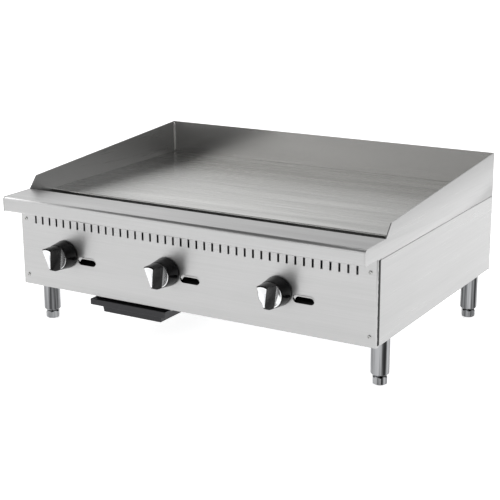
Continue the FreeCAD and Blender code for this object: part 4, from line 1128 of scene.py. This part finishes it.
@dataclass
class JointShadowStrip:
    """A black strip standing for the shade in the joint round a side panel, a painted shadow: up its front edge, then
    back under the guard.

    Sizes are in millimetres.

    Attributes:
        side: left or right.
        width: width of the joint up the front.
        seam: width of the joint along the top.
        crown: height of the bead's half-round crown.
        sunk: how far the crown's edges lie under the panel's outer face.
        depth: how far the bead's foot lies under that face.
        overlap: how far the bead laps the panel's edge.
        gap: distance from the panel's foot to the bead's lower end.
    """

    side: str
    width: float = 10.0
    seam: float = 1.8
    crown: float = 0.35
    sunk: float = 0.45
    depth: float = 1.2
    overlap: float = 0.4
    gap: float = 4.0

    def build(self) -> bpy.types.Object:
        """Builds the shadow strip just inside the panel's outer face.

        Returns:
            A bead of half-round section, wide up the front edge and narrow along the seam.
        """
        panel_low, panel_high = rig.box(f"{self.side}_side_panel")
        outward = 1 if self.side == "right" else -1
        face = panel_high.x if outward > 0 else panel_low.x
        front, rear, top = panel_low.y, panel_high.y, panel_high.z
        grids = []
        for start, end, wide, across in (
                ((face, front, panel_low.z + self.gap * MM), (face, front, top), self.width, (0, -1, 0)),
                ((face, front, top), (face, rear, top), self.seam, (0, 0, 1))):
            way = np.linspace(0, 1, 60)[:, None]
            path = np.array(start) * (1 - way) + np.array(end) * way
            swell = 1 + 0.08 * np.sin(way * 61) * np.sin(way * 23)
            angle = np.linspace(0, np.pi, 9)[None]
            half = wide / 2 * swell
            section = np.stack([half * (1 - np.cos(angle)) - self.overlap,
                                self.crown * np.sin(angle) - self.sunk + 0 * half], axis=-1)
            base = angle[:, ::4]
            foot = np.stack([half * (1 + np.cos(base)) - self.overlap,
                             -self.depth + 0 * half + 0 * base], axis=-1)
            loop = np.concatenate([section, foot], axis=1) * MM
            points = swept(path, np.array(across), np.array((outward, 0, 0)), loop)
            grids.append(Grid(points, True))
            for end_ring in (points[0], points[-1]):
                middle = np.broadcast_to(end_ring.mean(0), end_ring.shape)
                grids.append(Grid(np.stack([end_ring, middle]), True))
        shadow_strip = make_piece(f"{self.side}_joint_shadow_strip", grids, [JOINT_SHADOW_STRIP])
        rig.ride(shadow_strip, "cabinet")
        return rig.slot(shadow_strip, "black_iron_pipe")


@dataclass(frozen=True)
class SoftBox:
    """A square area light, turned towards a point a little above the middle of the floor.

    Attributes:
        name: the light's name.
        place: its place, in metres.
        size: its side, in metres.
        power: its power, in watts.
        aim: height of the point it looks at, in metres.
    """

    name: str
    place: tuple[float, float, float]
    size: float
    power: float
    aim: float = 0.2

    def build(self) -> None:
        """Adds the light."""
        data = bpy.data.lights.new(self.name, "AREA")
        data.shape = "SQUARE"
        data.size = self.size
        data.energy = self.power
        box = bpy.data.objects.new(self.name, data)
        bpy.context.scene.collection.objects.link(box)
        back = Vector(self.place) - Vector((0, 0, self.aim))
        turn = back.to_track_quat("Z", "Y").to_matrix().to_4x4()
        box.matrix_world = Matrix.Translation(self.place) @ turn


@dataclass
class Studio:
    """A plain pale floor, soft studio light and the camera.

    Attributes:
        place: the camera's place, in metres.
        azimuth, elevation, roll: which way it looks back from the object, in degrees.
        lens: focal length on the sensor of 36 mm, in millimetres.
        glow: how brightly the floor glows.
        floor_radius: radius of the floor, in metres.
        floor_drop: how far the floor lies under the feet, in metres.
        paper: the floor's finish.
        boxes: the soft boxes: overhead behind the object, at the left, and a low front fill.
    """

    place: tuple[float, float, float] = (1.45172, -2.45891, 0.98041)
    azimuth: float = 30.8168
    elevation: float = 15.8306
    roll: float = -0.3755
    lens: float = 90.18
    glow: float = 0.8
    floor_radius: float = 60.0
    floor_drop: float = 0.0002
    paper: Finish = Coated("white_floor", "f4f4f4", "f4f4f4", metallic=0.0, roughness=0.75, spread=0.03,
                           tint=0.01, relief=0.0, grit=4.0)
    boxes: tuple[SoftBox, ...] = (SoftBox("top_box", (1.2, 1.2, 3.4), 2.4, 60.0),
                                  SoftBox("left_box", (-4.6, -0.4, 1.7), 1.6, 34.0),
                                  SoftBox("front_fill", (0.2, -4.4, 2.2), 1.8, 20.0))

    def camera(self) -> None:
        """Makes the camera and sets it as the scene's."""
        turn, rise = math.radians(self.azimuth), math.radians(self.elevation)
        back = Vector((math.sin(turn) * math.cos(rise), -math.cos(turn) * math.cos(rise), math.sin(rise)))
        right = Vector((0, 0, 1)).cross(back).normalized()
        up = back.cross(right)
        tilt = math.radians(self.roll)
        across = math.cos(tilt) * right + math.sin(tilt) * up
        upward = math.cos(tilt) * up - math.sin(tilt) * right
        data = bpy.data.cameras.new("studio_camera")
        data.lens = self.lens
        data.sensor_width = 36
        camera = bpy.data.objects.new("studio_camera", data)
        bpy.context.scene.collection.objects.link(camera)
        facing = Matrix((across, upward, back)).transposed().to_4x4()
        camera.matrix_world = Matrix.Translation(self.place) @ facing
        bpy.context.scene.camera = camera

    def surroundings(self) -> None:
        """Makes the studio's walls: pale at the foot, then bright at the left and dark at the right.

        Each zone is a smooth step along one axis of the direction looked in: from one level where
        the axis has its first value to another where it has its second.
        """
        world = bpy.data.worlds.new("soft_studio")
        world.use_nodes = True
        tree = world.node_tree
        tree.nodes.clear()
        way = add(tree, "ShaderNodeTexCoord").outputs["Generated"]
        part = add(tree, "ShaderNodeSeparateXYZ", {}, {0: way})
        zones = {"wall": ("X", -0.05, -0.6, 0.07, 1.4), "rear": ("Y", 0.35, 0.85, 0.0, 0.6),
                 "front": ("Y", -0.4, -0.85, 1.0, 1.3), "above": ("Z", 0.36, 0.62, 0.0, 1.0),
                 "low": ("Z", 0.1, 0.2, 1.0, 0.0)}
        zone = {}
        for name, (axis, start, end, first, last) in zones.items():
            step = {"From Min": start, "From Max": end, "To Min": first, "To Max": last,
                    "interpolation_type": "SMOOTHSTEP"}
            ramp = add(tree, "ShaderNodeMapRange", step, {"Value": part.outputs[axis]})
            zone[name] = ramp.outputs["Result"]
        lifted = add(tree, "ShaderNodeMath", {"operation": "MULTIPLY"}, {0: zone["wall"], 1: zone["front"]})
        around = add(tree, "ShaderNodeMath", {"operation": "MAXIMUM"},
                     {0: lifted.outputs["Value"], 1: zone["rear"]})
        level = add(tree, "ShaderNodeMix", {3: 0.18}, {0: zone["above"], 2: around.outputs["Value"]})
        pale = add(tree, "ShaderNodeMix", {3: 0.95}, {0: zone["low"], 2: level.outputs[0]})
        grey = add(tree, "ShaderNodeCombineColor", {}, {0: pale.outputs[0], 1: pale.outputs[0],
                                                        2: pale.outputs[0]})
        back = add(tree, "ShaderNodeBackground", {"Strength": 1.0}, {"Color": grey.outputs["Color"]})
        output = add(tree, "ShaderNodeOutputWorld")
        tree.links.new(back.outputs["Background"], output.inputs["Surface"])
        bpy.context.scene.world = world

    def floor(self) -> None:
        """Lays a broad white floor that glows a little, like a light table, so shadows stay soft."""
        radius = np.linspace(0.0, self.floor_radius, 40)
        profile = np.stack([radius, np.full_like(radius, -self.floor_drop)], axis=1)
        disc = turned(profile, Vector((0, 0, 0)), 96)
        ground = make_piece("studio_floor", [Grid(disc, True)], [self.paper])
        if ground.data.polygons[0].normal.z < 0:
            ground.data.flip_normals()
        glow = ground.data.materials[0].node_tree.nodes["Principled BSDF"]
        glow.inputs["Emission Color"].default_value = (1.0, 1.0, 1.0, 1.0)
        glow.inputs["Emission Strength"].default_value = self.glow
        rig.stage(ground)

    def build(self) -> None:
        """Sets up the whole studio."""
        self.camera()
        for box in self.boxes:
            box.build()
        self.surroundings()
        self.floor()
        bpy.context.scene.view_settings.view_transform = "Standard"


# ---------------------------------------------------------------- the frame's own nodes

# The finish of each material slot of the record.
SLOT_FINISHES = {"brushed_stainless": FRONT_STEEL, "griddle_steel": PLATE_STEEL,
                 "galvanised_steel": ZINC_SHEET, "polished_chrome": CHROME, "knob_chrome": CHROME,
                 "dark_tray_steel": TRAY_STEEL, "black_iron_pipe": IRON_PIPE,
                 "aluminised_steel": BURNER_STEEL, "brass": BRASS, "zinc_fastener": ZINC_SCREW}
# Nodes whose finish isn't their slot's own.
NODE_FINISHES = {"grease_trough": TROUGH_STEEL_SHADED, "grease_chute": TROUGH_STEEL_SHADED,
                 "left_side_panel": SIDE_STEEL_SHADED, "right_side_panel": SIDE_STEEL_SHADED,
                 "left_splash_guard": SIDE_STEEL_SHADED, "right_splash_guard": SIDE_STEEL_SHADED,
                 "rear_splash_guard": GUARD_STEEL_LIT}
# Width of the rounding on the edges of the other sheets, in millimetres.
NODE_ROUNDING = {"front_panel": 0.5, "rear_panel": 0.5, "left_side_panel": 0.6, "right_side_panel": 0.6,
                 "bottom_panel": 0.4, "drip_tray": 0.6, "left_tray_rail": 0.3, "right_tray_rail": 0.3,
                 "heat_shield": 0.4, "leg_mount_plates": 0.4, "gas_manifold": 0.3}


def dress_frame() -> None:
    """Gives every node of the frame its finish, and softens the edges of the sheets."""
    slots = {part["node"]: part["material_slot"] for part in frame["record"]["subparts"]}
    for name, node in frame["nodes"].items():
        finish = NODE_FINISHES.get(name) or SLOT_FINISHES[slots[name]]
        node.data.materials.clear()
        node.data.materials.append(finish.material())
        if name in NODE_ROUNDING:
            round_edges(node, NODE_ROUNDING[name])


def write_sizes() -> None:
    boxes = {"cad": [list(corner) for corner in CAD_BOX], "visual": [list(corner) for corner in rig.bounds()]}
    with open("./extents.json", "w") as target:
        json.dump(boxes, target)


def main() -> None:
    """Builds the studio and every sub-assembly, in order."""
    logging.basicConfig(level=logging.INFO, format="%(message)s")
    Studio().build()
    dress_frame()
    pieces = CookingTop().build() + [SlotLip(station).build() for station in STATIONS]
    pieces += [JointShadowStrip(side).build() for side in SIDES]
    pieces += [PanScrews("front_panel_screws", -1).build(), PanScrews("rear_panel_screws", 1).build()]
    pieces += [ControlKnob(station).build() for station in STATIONS]
    for corner in CORNERS:
        pieces += LevellingLeg(corner).build()
    for made in pieces:
        LOG.info("%s: %d faces", made.name, len(made.data.polygons))
    write_sizes()


if __name__ == "__main__":
    main()
